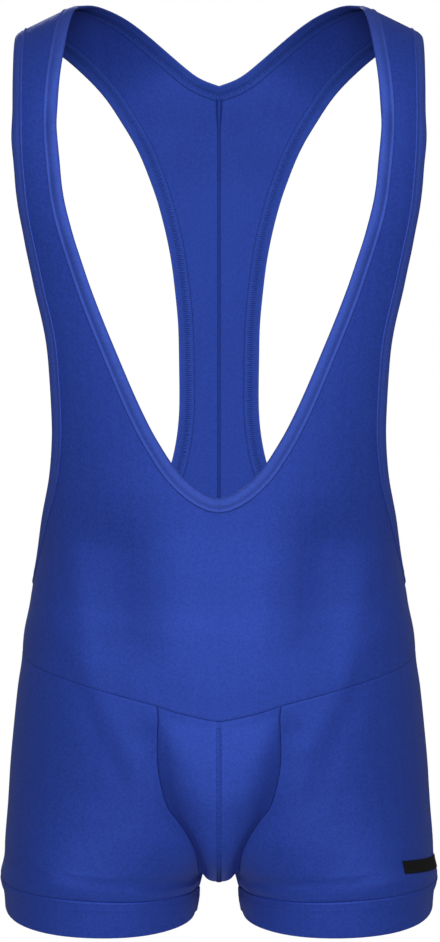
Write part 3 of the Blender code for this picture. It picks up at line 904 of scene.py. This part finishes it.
def sweep(name, edges, profile, sizes=None, joins=False, second=()):
    """Sweeps a closed profile along one or more lists of spots, and returns one object. Second lists
    the sides of the profile that wear the object's second material."""
    body = bmesh.new()
    flats = body.loops.layers.uv.new("flat")
    sides = [0.0]
    for (a, b), (c, d) in zip(profile, profile[1:] + profile[:1]):
        sides.append(sides[-1] + math.hypot(c - a, d - b) * MM)
    for spots in edges:
        closed = (spots[0].place - spots[-1].place).length == 0
        widths = sizes or [1.0] * len(spots)
        rings = [(spot.run, [spot.at(a, lift, size) for a, lift in profile])
                 for spot, size in zip(spots, widths)]
        if joins:
            rings = with_join(rings, spots, profile)
            rings = with_join(rings[::-1], spots[::-1], profile)[::-1]
        if closed:
            rings.pop()
        verts = [[body.verts.new(p) for p in ring] for _, ring in rings]
        for k in range(len(rings) if closed else len(rings) - 1):
            m = (k + 1) % len(rings)
            start, end = rings[k][0], spots[-1].run if m == 0 else rings[m][0]
            for j in range(len(profile)):
                i = (j + 1) % len(profile)
                face = body.faces.new((verts[k][j], verts[k][i], verts[m][i], verts[m][j]))
                face.material_index = int(j in second)
                corners = ((start, sides[j]), (start, sides[j + 1]), (end, sides[j + 1]), (end, sides[j]))
                for loop, corner in zip(face.loops, corners):
                    loop[flats].uv = corner
        if not closed:
            body.faces.new(verts[0])
            body.faces.new(verts[-1])
    bmesh.ops.recalc_face_normals(body, faces=body.faces)
    return finished_object(name, body, STRIP_BEND)


def with_join(rings, spots, profile):
    """Rolls the end of a strip in, where it is joined to its other end."""
    (run_a, first), (run_b, second) = rings[0], rings[1]
    span = (spots[1].place - spots[0].place).length / MM
    fresh = []
    for far, fullness in JOIN_POINTS:
        share = far / span
        ring = []
        for (across, lift), a, b in zip(profile, first, second):
            sink = spots[0].up * (lift * (1 - fullness) * MM)
            ring.append(a.lerp(b, share) - sink)
        fresh.append((run_a + (run_b - run_a) * share, ring))
    return fresh + rings[1:]


# %% [markdown]
# ## The bindings
#
# A binding is a strip folded over the raw edge of the cloth. From outside it has a bright ridge where
# the strip is folded under, a groove along the needle line, and then a full round body up to the free
# edge. The profile has a slot that takes the cloth. At the point of the V the two ends are joined with
# a mitre, as a maker would do it, and each end rolls in a little at that join.

# %% Sweep the bindings
BINDING_PROFILE = [
    # across, lift, in mm
    (0.15, 0.50), (-0.90, 0.50), (-1.00, 0.75), (-0.65, 1.15), (-0.10, 1.30), (0.50, 1.20),
    (1.20, 0.85), (2.00, 0.72), (2.80, 0.85), (3.80, 1.15), (5.20, 1.35), (6.80, 1.38), (8.30, 1.25),
    (9.50, 0.95), (10.30, 0.50), (10.60, -0.05), (10.40, -0.50), (9.70, -0.90), (8.50, -1.05),
    (6.00, -1.05), (3.40, -1.00), (2.40, -0.85), (1.20, -1.05), (-0.80, -1.05), (-2.20, -0.95),
    (-2.70, -0.70), (-2.60, -0.50), (0.15, -0.50),
]
BINDING_INSIDE = range(17, 26)


def neck_half(k):
    front_edge = [front_grids[k][row][0] for row in range(NECK_ROW, 0, -1)]
    return front_edge + [back_grids[k][row][0] for row in range(BACK_NECK_ROW + 1)]


def armhole_edge(k):
    back_edge = [back_grids[k][row][-1] for row in range(BACK_SIDE_ROW * FINE, 0, -1)]
    return back_edge + [front_grids[k][row][-1] for row in range(FRONT_SIDE_ROW * FINE)]


neck_spots = spots_on(neck_half(0) + neck_half(1)[-2::-1], mitred=True)
armhole_spots = {
    "left": spots_on(armhole_edge(0), closed=True),
    "right": spots_on(armhole_edge(1)[::-1], closed=True),
}
pieces["neck_binding"] = sweep("neck_binding", [neck_spots], BINDING_PROFILE, joins=True,
                               second=BINDING_INSIDE)
for side, spots in armhole_spots.items():
    name = "armhole_binding_" + side
    pieces[name] = sweep(name, [spots], BINDING_PROFILE, second=BINDING_INSIDE)
    print(name, "is", round(spots[-1].run, 3), "m long")
print("neck binding is", round(neck_spots[-1].run, 3), "m long")

# %% [markdown]
# ## Seam tapes
#
# Inside, a seam is finished with its two raw edges trimmed and covered by thread. It reads as a thin
# raised line between two darker lines, which are painted shade on the tape's flanks. One small profile
# does for all of them. Below the back neck binding the centre-back seam flares out, because the
# allowance spreads before the binding takes it.
# The pouch's curved seam also has a low cover outside, which narrows a little near the waist.

# %% Sweep the seam tapes
def both_sides(half):
    return half + [(-across, lift) for across, lift in half[-2::-1]]


# across, lift, in mm, from one side to the middle
TAPE_PROFILE = both_sides([
    (-1.45, -0.30), (-1.45, -0.80), (-1.20, -0.98), (-0.85, -0.92), (-0.60, -1.05), (-0.30, -1.34),
    (0.00, -1.40),
])
COVER_PROFILE = both_sides([
    (-2.30, 0.20), (-2.25, 0.50), (-1.90, 0.66), (-1.20, 0.62), (-0.60, 0.78), (0.00, 0.92),
])
# The tape's middle wears the body knit, and its flanks wear a darker knit as painted shade.
TAPE_MIDDLE = range(4, 8)
FLARE, FLARE_START, FLARE_LENGTH = 0.9, 0.009, 0.017
COVER_START, COVER_LENGTH = 0.75, 0.05


def column(grid, k, first, last):
    step = 1 if last >= first else -1
    return [grid[row][k] for row in range(first, last + step, step)]


centre_back = column(back_grids[0], 0, BACK_NECK_ROW, len(back) - 1)
centre_back += column(leg_grids[0], -1, 1, TIP_START)
centre_back_spots = spots_on(centre_back)
waist_edge = front_grids[0][-1] + back_grids[0][-1][-2::-1]
waist_edge += back_grids[1][-1][1:] + front_grids[1][-1][-2:0:-1]
waist_spots = spots_on(waist_edge, closed=True)
pouch_centre_spots = spots_on(column(pouch_grids[0], 0, 0, len(pouch) - 1))
seam_spots = {"waist": [waist_spots], "pouch": [], "inseam": [], "band": [], "side": [], "shoulder": []}
for k in (0, 1):
    gusset = column(leg_grids[k], 0, 0, CROTCH_START)
    gusset += column(leg_grids[k], -1, CROTCH_START - 1, TIP_START)
    seam_spots["pouch"].append(spots_on(gusset))
    seam_spots["inseam"].append(spots_on(column(leg_grids[k], 0, CROTCH_START, BAND_START)))
    seam_spots["band"].append(spots_on(band_grids[k][0][:-1], closed=True))
    side_row = FRONT_SIDE_ROW * FINE
    seam_spots["side"].append(spots_on(column(front_grids[k], -1, side_row, len(front) - 1)))
    seam_spots["shoulder"].append(spots_on(front_grids[k][0]))

flares = [1 + FLARE * max(0.0, 1 - (spot.run - FLARE_START) / FLARE_LENGTH) for spot in centre_back_spots]
flares = [min(flare, 1 + FLARE) for flare in flares]
taped = {"centre_back": [centre_back_spots], "pouch_centre": [pouch_centre_spots], **seam_spots}
tapes = {}
for name, edges in taped.items():
    sizes = flares if name == "centre_back" else None
    tapes[name + "_tape"] = sweep(name + "_tape", edges, TAPE_PROFILE, sizes, second=TAPE_MIDDLE)
cover_sizes = [min(1.0, COVER_START + spot.run / COVER_LENGTH) for spot in pouch_centre_spots]
tapes["pouch_cover"] = sweep("pouch_cover", [pouch_centre_spots], COVER_PROFILE, cover_sizes)
print("tapes:", sorted(tapes))

# %% [markdown]
# ## The label
#
# A woven label lies flat on the outer side of the wearer's left leg, just above the band. It is built
# plain: a thin strip of black tape that follows the leg, with its points read from the leg's own grid.

# %% Place the label
LABEL_STARTS = (0.1471, 0.1493)
LABEL_SEARCH = (6.0, 10.5)
LABEL_END_COLUMN = 11.6
LABEL_TOPS = (-0.7025, -0.7052)
LABEL_HEIGHT = 0.0105
LABEL_LENGTH = 0.040
LABEL_HALF = 0.35 * MM
LABEL_LIFT = 0.90 * MM
LABEL_GRID = (24, 8)
LABEL_RIM = 1.2 * MM
HALVINGS = 30


def blend(ends, share):
    return ends[0] + (ends[1] - ends[0]) * share


def on_leg(along, z):
    low = int(along * FINE)
    share = along * FINE - low
    line = [(row[low].co.lerp(row[low + 1].co, share), outward(row[low])) for row in leg_grids[0]]
    for (a, up_a), (b, up_b) in zip(line, line[1:]):
        if a.z >= z >= b.z:
            part = (a.z - z) / (a.z - b.z)
            return a.lerp(b, part), up_a.lerp(up_b, part).normalized()


def column_at(x, z):
    """The leg's column that passes through a given x at a given height, found by halving."""
    low, high = LABEL_SEARCH
    for _ in range(HALVINGS):
        middle = (low + high) / 2
        if on_leg(middle, z)[0].x < x:
            low = middle
        else:
            high = middle
    return low


label_rows = []
for down in even(LABEL_GRID[1]):
    row = []
    start_column = column_at(blend(LABEL_STARTS, down), LABEL_TOPS[0] - LABEL_HEIGHT * down)
    for along in even(LABEL_GRID[0]):
        place = blend((start_column, LABEL_END_COLUMN), along)
        spot, up = on_leg(place, blend(LABEL_TOPS, along) - LABEL_HEIGHT * down)
        row.append(Dot(spot + up * LABEL_LIFT, up, (along * LABEL_LENGTH, -down * LABEL_HEIGHT), None))
    label_rows.append(row)


def label_lift(dot):
    rim = min(dot.flat[0], LABEL_LENGTH - dot.flat[0], -dot.flat[1], LABEL_HEIGHT + dot.flat[1])
    rise = 0.5 + 0.5 * min(rim / LABEL_RIM, 1.0)
    return LABEL_HALF * rise, -LABEL_HALF


pieces["label"] = make_shell("label", [label_rows], label_lift)
print("label faces:", len(pieces["label"].data.polygons))

# %% [markdown]
# ## Finishes
#
# Satin stretch knit is a fine warp knit of shiny yarn. Its columns of loops are too small to see from a
# few steps away, but they scatter the light, so the gloss is broad and the grazing edges glow. The loops
# are a bump pattern over the flat cloth's own metres, columns across and rows down. A slow noise varies
# the blue a little, as yarn does, and faint streaks down the cloth are painted sheen. The wrong side of
# a warp knit is duller, so the inner skin of each panel has less gloss; its deeper blue is painted shade.

# %% Knit
WALE = 0.62 * MM
COURSE = 0.48 * MM
LOOP_HEIGHT = 0.10 * MM
MOTTLE_SCALE = 560.0
# The streak scale and share set faint streaks of painted sheen in the knit's colour.
STREAK_SCALE = (160.0, 9.0, 1.0)
MOTTLE_SHARE, STREAK_SHARE = 0.85, 0.15
RAMP_ENDS = (0.38, 0.62)
ROW_BEND, ROW_SHARE = 1.6, 0.6
SHEEN_ROUGHNESS, SHEEN_TINT = 0.35, (0.62, 0.70, 1.0, 1)
KNIT_ROUGHNESS, KNIT_SHEEN, KNIT_IOR = 0.58, 0.05, 1.9
KNIT_GLOSS_TINT, THREAD_GLOSS_TINT = (0.10, 0.21, 1.0), (0.3, 0.4, 1.0)


def new_material(name, roughness, sheen=0.0, gloss=0.5, gloss_tint=(1, 1, 1), ior=1.5):
    material = bpy.data.materials.new(name)
    material.use_nodes = True
    shader = material.node_tree.nodes["Principled BSDF"]
    shader.inputs["Roughness"].default_value = roughness
    shader.inputs["Sheen Weight"].default_value = sheen
    shader.inputs["Sheen Roughness"].default_value = SHEEN_ROUGHNESS
    shader.inputs["Sheen Tint"].default_value = SHEEN_TINT
    shader.inputs["Specular IOR Level"].default_value = gloss
    shader.inputs["Specular Tint"].default_value = (*gloss_tint, 1)
    shader.inputs["IOR"].default_value = ior
    return material, material.node_tree.nodes, material.node_tree.links, shader


def math_node(nodes, links, kind, a, b=0.0):
    node = nodes.new("ShaderNodeMath")
    node.operation = kind
    for socket, value in zip(node.inputs, (a, b)):
        if isinstance(value, float):
            socket.default_value = value
        else:
            links.new(value, socket)
    return node.outputs[0]


def knit_bump(nodes, links, shader, wale, course, strength):
    """Loops of a knit: round columns, with rows that bend round them."""
    flat = nodes.new("ShaderNodeUVMap")
    flat.uv_map = "flat"
    parts = nodes.new("ShaderNodeSeparateXYZ")
    links.new(flat.outputs["UV"], parts.inputs[0])
    across = math_node(nodes, links, "MULTIPLY", parts.outputs["X"], 2 * math.pi / wale)
    columns = math_node(nodes, links, "COSINE", across)
    down = math_node(nodes, links, "MULTIPLY", parts.outputs["Y"], 2 * math.pi / course)
    bend = math_node(nodes, links, "MULTIPLY", columns, ROW_BEND)
    rows = math_node(nodes, links, "COSINE", math_node(nodes, links, "ADD", down, bend))
    loops = math_node(nodes, links, "ADD", columns, math_node(nodes, links, "MULTIPLY", rows, ROW_SHARE))
    bump = nodes.new("ShaderNodeBump")
    bump.inputs["Strength"].default_value = strength
    bump.inputs["Distance"].default_value = LOOP_HEIGHT
    links.new(loops, bump.inputs["Height"])
    links.new(bump.outputs["Normal"], shader.inputs["Normal"])
    return flat


def noise(nodes, links, where, scale, detail):
    node = nodes.new("ShaderNodeTexNoise")
    node.inputs["Scale"].default_value, node.inputs["Detail"].default_value = scale, detail
    links.new(where, node.inputs["Vector"])
    return node.outputs["Fac"]


def knit(name, deep, light, gloss=1.0, strength=0.35):
    material, nodes, links, shader = new_material(
        name, KNIT_ROUGHNESS, KNIT_SHEEN, gloss, KNIT_GLOSS_TINT, KNIT_IOR)
    flat = knit_bump(nodes, links, shader, WALE, COURSE, strength)
    where = nodes.new("ShaderNodeTexCoord")
    mottle = noise(nodes, links, where.outputs["Object"], MOTTLE_SCALE, 2.0)
    # Stretched noise paints faint lighter and darker streaks down the cloth: painted sheen.
    stretch = nodes.new("ShaderNodeMapping")
    stretch.inputs["Scale"].default_value = STREAK_SCALE
    links.new(flat.outputs["UV"], stretch.inputs["Vector"])
    sheen_streak = noise(nodes, links, stretch.outputs["Vector"], 1.0, 1.0)
    grain = math_node(nodes, links, "MULTIPLY", mottle, MOTTLE_SHARE)
    painted_sheen_streaks = math_node(nodes, links, "MULTIPLY", sheen_streak, STREAK_SHARE)
    both = math_node(nodes, links, "ADD", grain, painted_sheen_streaks)
    ramp = nodes.new("ShaderNodeValToRGB")
    for stop, place, colour in zip(ramp.color_ramp.elements, RAMP_ENDS, (deep, light)):
        stop.position, stop.color = place, (*colour, 1)
    links.new(both, ramp.inputs["Fac"])
    links.new(ramp.outputs["Color"], shader.inputs["Base Color"])
    return material


body_knit = knit("body_knit", (0.0140, 0.033, 0.230), (0.0210, 0.048, 0.310))
# The inner skin's knit is the duller wrong side, with less gloss, and its deeper blue is painted shade for
# the inside of the garment.
wrong_side_knit_with_painted_shade = knit("wrong_side_knit_with_painted_shade", (0.0121, 0.0285, 0.198), (0.0181, 0.0415, 0.267), gloss=0.85)
binding_knit = knit("binding_knit", (0.026, 0.050, 0.255), (0.034, 0.062, 0.315))
binding_inner = knit("binding_inner_knit", (0.017, 0.042, 0.245), (0.023, 0.052, 0.295), gloss=0.8)
# Painted shade: the seam tapes' flanks wear this darker knit to draw the shadow lines beside each seam.
tape_knit = knit("tape_knit", (0.007, 0.022, 0.150), (0.009, 0.027, 0.175), gloss=0.4, strength=0.2)
for name, piece in pieces.items():
    if "binding" in name:
        piece.data.materials.append(binding_knit)
        piece.data.materials.append(binding_inner)
    elif name != "label":
        piece.data.materials.append(body_knit)
        piece.data.materials.append(wrong_side_knit_with_painted_shade)
for name, tape in tapes.items():
    if name != "pouch_cover":
        tape.data.materials.append(tape_knit)
    tape.data.materials.append(body_knit)

# %% [markdown]
# The label is a close satin weave of matt black yarn, so it has fine ribs across and hardly any shine.
# Both of its skins wear the same black.

# %% Label tape
RIB = 0.35 * MM
label_black, nodes, links, shader = new_material("label_black", 0.8, 0.0, 0.15)
shader.inputs["Base Color"].default_value = (0.0075, 0.0075, 0.0085, 1)
knit_bump(nodes, links, shader, RIB, RIB, 0.5)
pieces["label"].data.materials.append(label_black)
pieces["label"].data.materials.append(label_black)
print("materials:", [m.name for m in bpy.data.materials])

# %% [markdown]
# ## Stitches
#
# Machine stitches are alike and evenly spaced, so one small node tree makes every row of them. It takes
# a rail, which is a line of points that each know the way out of the cloth, puts points along it at one
# pitch, and lays a slim ball of thread on each, turned to the line by a given angle. A slight random
# turn, with a fixed seed, keeps a row from looking printed.

# %% A tree for a row of stitches
STITCH_SIZES = ("Pitch", "Half Length", "Half Width", "Half Height", "Turn", "Waver")
STITCH_SEED = 7


def stitch_tree():
    tree = bpy.data.node_groups.new("stitch_row", "GeometryNodeTree")
    tree.interface.new_socket("Rail", in_out="INPUT", socket_type="NodeSocketGeometry")
    for name in STITCH_SIZES:
        tree.interface.new_socket(name, in_out="INPUT", socket_type="NodeSocketFloat")
    tree.interface.new_socket("Thread", in_out="INPUT", socket_type="NodeSocketMaterial")
    tree.interface.new_socket("Stitches", in_out="OUTPUT", socket_type="NodeSocketGeometry")
    nodes, links = tree.nodes, tree.links
    given, made = nodes.new("NodeGroupInput"), nodes.new("NodeGroupOutput")
    line = nodes.new("GeometryNodeMeshToCurve")
    links.new(given.outputs["Rail"], line.inputs["Mesh"])
    spaced = nodes.new("GeometryNodeResampleCurve")
    spaced.mode = "LENGTH"
    links.new(line.outputs["Curve"], spaced.inputs["Curve"])
    links.new(given.outputs["Pitch"], spaced.inputs["Length"])
    stand = nodes.new("GeometryNodeInputNamedAttribute")
    stand.data_type = "FLOAT_VECTOR"
    stand.inputs["Name"].default_value = "stand"
    frame_on_line = nodes.new("FunctionNodeAxesToRotation")
    frame_on_line.primary_axis, frame_on_line.secondary_axis = "Z", "X"
    links.new(stand.outputs["Attribute"], frame_on_line.inputs["Primary Axis"])
    tangent = nodes.new("GeometryNodeInputTangent")
    links.new(tangent.outputs["Tangent"], frame_on_line.inputs["Secondary Axis"])
    waver = nodes.new("FunctionNodeRandomValue")
    waver.data_type = "FLOAT"
    waver.inputs["Seed"].default_value = STITCH_SEED
    lowest = math_node(nodes, links, "MULTIPLY", given.outputs["Waver"], -1.0)
    for end, limit in (("Min", lowest), ("Max", given.outputs["Waver"])):
        links.new(limit, next(s for s in waver.inputs if s.name == end and s.type == "VALUE"))
    drawn = next(s for s in waver.outputs if s.type == "VALUE")
    angles = nodes.new("ShaderNodeCombineXYZ")
    links.new(math_node(nodes, links, "ADD", given.outputs["Turn"], drawn), angles.inputs["Z"])
    spin = nodes.new("FunctionNodeEulerToRotation")
    links.new(angles.outputs[0], spin.inputs[0])
    turned = nodes.new("FunctionNodeRotateRotation")
    turned.rotation_space = "LOCAL"
    links.new(frame_on_line.outputs["Rotation"], turned.inputs["Rotation"])
    links.new(spin.outputs[0], turned.inputs["Rotate By"])
    ball = nodes.new("GeometryNodeMeshUVSphere")
    ball.inputs["Segments"].default_value, ball.inputs["Rings"].default_value = 6, 4
    ball.inputs["Radius"].default_value = 1.0
    size = nodes.new("ShaderNodeCombineXYZ")
    for name, axis in (("Half Length", "X"), ("Half Width", "Y"), ("Half Height", "Z")):
        links.new(given.outputs[name], size.inputs[axis])
    placed = nodes.new("GeometryNodeInstanceOnPoints")
    links.new(spaced.outputs["Curve"], placed.inputs["Points"])
    links.new(ball.outputs["Mesh"], placed.inputs["Instance"])
    links.new(turned.outputs["Rotation"], placed.inputs["Rotation"])
    links.new(size.outputs[0], placed.inputs["Scale"])
    real = nodes.new("GeometryNodeRealizeInstances")
    links.new(placed.outputs["Instances"], real.inputs["Geometry"])
    smooth = nodes.new("GeometryNodeSetShadeSmooth")
    links.new(real.outputs["Geometry"], smooth.inputs["Geometry"])
    threaded = nodes.new("GeometryNodeSetMaterial")
    links.new(smooth.outputs["Geometry"], threaded.inputs["Geometry"])
    links.new(given.outputs["Thread"], threaded.inputs["Material"])
    links.new(threaded.outputs["Geometry"], made.inputs["Stitches"])
    return tree


row_tree = stitch_tree()
print("stitch tree:", len(row_tree.nodes), "nodes")

# %% [markdown]
# A rail is read off the frames that the bindings and tapes already use, moved across and lifted to lie
# on the cloth. The tree runs once for each kind of stitch, and its result is kept as a plain mesh.

# %% Rails and rows


def rail_on(spots, across, lift, inside=False):
    return [(spot.at(across, lift), -spot.up if inside else spot.up) for spot in spots]


def stitch_rows(name, rails, thread, *sizes):
    points, lines, stands = [], [], []
    for rail in rails:
        base = len(points)
        points += [place for place, _ in rail]
        stands += [stand for _, stand in rail]
        lines += [(base + k, base + k + 1) for k in range(len(rail) - 1)]
    mesh = bpy.data.meshes.new(name)
    mesh.from_pydata([tuple(p) for p in points], lines, [])
    layer = mesh.attributes.new("stand", "FLOAT_VECTOR", "POINT")
    for item, stand in zip(layer.data, stands):
        item.vector = stand
    holder = new_object(name, mesh)
    modifier = holder.modifiers.new("stitches", "NODES")
    modifier.node_group = row_tree
    given = {item.name: item.identifier for item in row_tree.interface.items_tree if item.in_out == "INPUT"}
    for size_name, size in zip(STITCH_SIZES, sizes):
        modifier[given[size_name]] = size
    modifier[given["Thread"]] = thread
    graph = bpy.context.evaluated_depsgraph_get()
    finished_rows = bpy.data.meshes.new_from_object(holder.evaluated_get(graph))
    holder.modifiers.clear()
    holder.data = finished_rows
    print(name, len(finished_rows.polygons), "faces")
    return holder


def thread_material(name, colour, gloss):
    material, _, _, shader = new_material(name, 0.55, 0.0, gloss, THREAD_GLOSS_TINT)
    shader.inputs["Base Color"].default_value = (*colour, 1)
    return material


blue_thread = thread_material("blue_thread", (0.026, 0.058, 0.34), 0.6)
deep_thread = thread_material("deep_blue_thread", (0.006, 0.019, 0.120), 0.3)
black_thread = thread_material("black_thread", (0.012, 0.012, 0.013), 0.4)

# %% [markdown]
# The needle line runs in the groove of each binding, where short straight stitches show. Inside, the
# same machine throws loops of thread across the turned edge, so they lie square to it and close
# together. The seams inside carry the overlock's threads. Outside, a thin line of thread lies in the
# seam on each side of the pouch, and its centre seam has a flat ladder.

# %% Sew every seam
QUARTER = math.pi / 2
binding_lines = [neck_spots, armhole_spots["left"], armhole_spots["right"]]
all_tapes = [line for lines in taped.values() for line in lines]
LADDER_START = 0.004
ladder_lines = [[spot for spot in pouch_centre_spots if spot.run > LADDER_START]]
SEWING = (
    # name, lines, across, lift, inside, thread, (pitch, half length, half width, half height), turn, waver
    ("binding_needle_line", binding_lines, 2.0, 0.78, False, blue_thread,
     (2.6, 1.05, 0.16, 0.13), 0.0, 0.03),
    ("binding_loopers", binding_lines, 3.6, -1.06, True, deep_thread,
     (1.9, 4.2, 0.28, 0.24), QUARTER, 0.16),
    # Dark thread along the binding's inner edge: partly real thread, partly painted shade of that edge.
    ("binding_edge_thread", binding_lines, -2.75, -0.62, True, deep_thread,
     (3.4, 1.75, 0.22, 0.22), 0.0, 0.02),
    ("pouch_edge_thread", seam_spots["pouch"], 0.0, 0.02, False, deep_thread,
     (1.7, 0.75, 0.28, 0.16), 0.0, 0.02),
    ("overlock_threads", all_tapes, 0.0, -1.02, True, deep_thread,
     (1.7, 1.30, 0.16, 0.42), QUARTER, 0.08),
    ("pouch_ladder", ladder_lines, 0.0, 0.74, False, deep_thread,
     (2.1, 2.1, 0.20, 0.30), QUARTER, 0.04),
)
threads = {}
for name, lines, across, lift, inside, thread, sizes, turn, waver in SEWING:
    rails = [rail_on(line, across, lift, inside) for line in lines]
    threads[name] = stitch_rows(name, rails, thread, *(size * MM for size in sizes), turn, waver)

end_row, end_column = LABEL_GRID[1] - 1, LABEL_GRID[0] - 1
label_line = label_rows[1][1 : end_column + 1]
label_line += [label_rows[r][end_column] for r in range(2, end_row + 1)]
label_line += label_rows[end_row][end_column - 1 : 0 : -1]
label_line += [label_rows[r][1] for r in range(end_row - 1, 0, -1)]
label_rail = [(dot.place + dot.normal * LABEL_HALF, dot.normal) for dot in label_line]
threads["label_stitches"] = stitch_rows(
    "label_stitches", [label_rail], black_thread, 1.9 * MM, 0.75 * MM, 0.16 * MM, 0.12 * MM, 0.0, 0.03)

# %% [markdown]
# ## Floor, light and room
#
# The photograph is a plain cut-out on white. The floor is a small pale disc under the garment, low
# enough to stay out of the front view, and the room is white to the camera but gives only a soft fill.
# One soft light above the camera's line of sight makes the front bright and lets the sides fall off.
# Two tall, weak strips from behind add a little light down each side, and one more light is for the
# back view.

# %% Floor and lights
FLOOR_Z = -0.86
FLOOR_RADIUS = 0.34
FILL = 0.16

bpy.ops.mesh.primitive_circle_add(vertices=96, radius=FLOOR_RADIUS, fill_type="NGON",
                                  location=(0, 0, FLOOR_Z))
floor = bpy.context.object
floor.name = "floor"
paper = new_material("pale_paper", 0.9, gloss=0.2)[0]
paper.node_tree.nodes["Principled BSDF"].inputs["Base Color"].default_value = (0.86, 0.86, 0.86, 1)
floor.data.materials.append(paper)

LIGHTS = (
    # name,         place,              aim at z, width, height, watts
    ("front_key", (0.03, -1.62, 0.30), -0.30, 0.8, 0.7, 25.5),
    ("strip_left", (-1.5, 0.75, -0.3), -0.40, 0.35, 1.7, 0.9),
    ("strip_right", (1.5, 0.75, -0.3), -0.40, 0.35, 1.7, 0.9),
    ("back_key", (-0.5, 3.0, 0.7), -0.35, 1.1, 1.5, 48),
)
for name, place, aim, width, height, watts in LIGHTS:
    data = bpy.data.lights.new(name, "AREA")
    data.shape = "RECTANGLE"
    data.size, data.size_y, data.energy = width, height, watts
    lamp = bpy.data.objects.new(name, data)
    lamp.location = place
    lamp.rotation_euler = (Vector((0, 0, aim)) - Vector(place)).to_track_quat("-Z", "Y").to_euler()
    bpy.context.scene.collection.objects.link(lamp)

world = bpy.data.worlds.new("room")
world.use_nodes = True
nodes, links = world.node_tree.nodes, world.node_tree.links
seen = nodes.new("ShaderNodeLightPath")
strength = math_node(nodes, links, "MAXIMUM", seen.outputs["Is Camera Ray"], FILL)
links.new(strength, nodes["Background"].inputs["Strength"])
nodes["Background"].inputs["Color"].default_value = (1, 1, 1, 1)
bpy.context.scene.world = world
bpy.context.scene.view_settings.view_transform = "Standard"
print("lights:", len(LIGHTS))

# %% [markdown]
# ## Put the pieces in place
#
# Each piece takes the place of its wall, which is hidden, and hangs from the body, as the tapes and
# threads do. The size of each cut when it lies flat is also worked out: the least rectangle that holds
# a panel, a binding's folded width and its whole length, and a band's height and its length round the leg.
# The area is measured on the finished cloth, except on the two slender back panels.

# %% Put each piece in place
BINDING_FLAT = 0.0135
TURNS_A_DEGREE = 5


def smallest_rectangle(places):
    """The least rectangle, at any angle, that holds the flat places."""
    best = None
    for step in range(90 * TURNS_A_DEGREE):
        turn = math.radians(step / TURNS_A_DEGREE)
        c, s = math.cos(turn), math.sin(turn)
        across = [x * c + y * s for x, y in places]
        down = [y * c - x * s for x, y in places]
        size = (max(across) - min(across), max(down) - min(down))
        if best is None or size[0] * size[1] < best[0] * best[1]:
            best = size
    return best


def flat_size(name):
    if "binding" in name:
        spots = neck_spots if name == "neck_binding" else armhole_spots[name.rsplit("_", 1)[1]]
        return BINDING_FLAT, spots[-1].run
    if name.startswith("leg_band"):
        rows = panel_grids[name][0]
        return max(measure(column)[-1] for column in zip(*rows)), max(measure(row)[-1] for row in rows)
    return smallest_rectangle([dot.flat for grid in panel_grids[name] for row in grid for dot in row])


for name, piece in pieces.items():
    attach(piece, BODY)
    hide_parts(name)
    if name != "label":
        width, length = flat_size(name)
for tape in list(tapes.values()) + list(threads.values()):
    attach(tape, BODY)
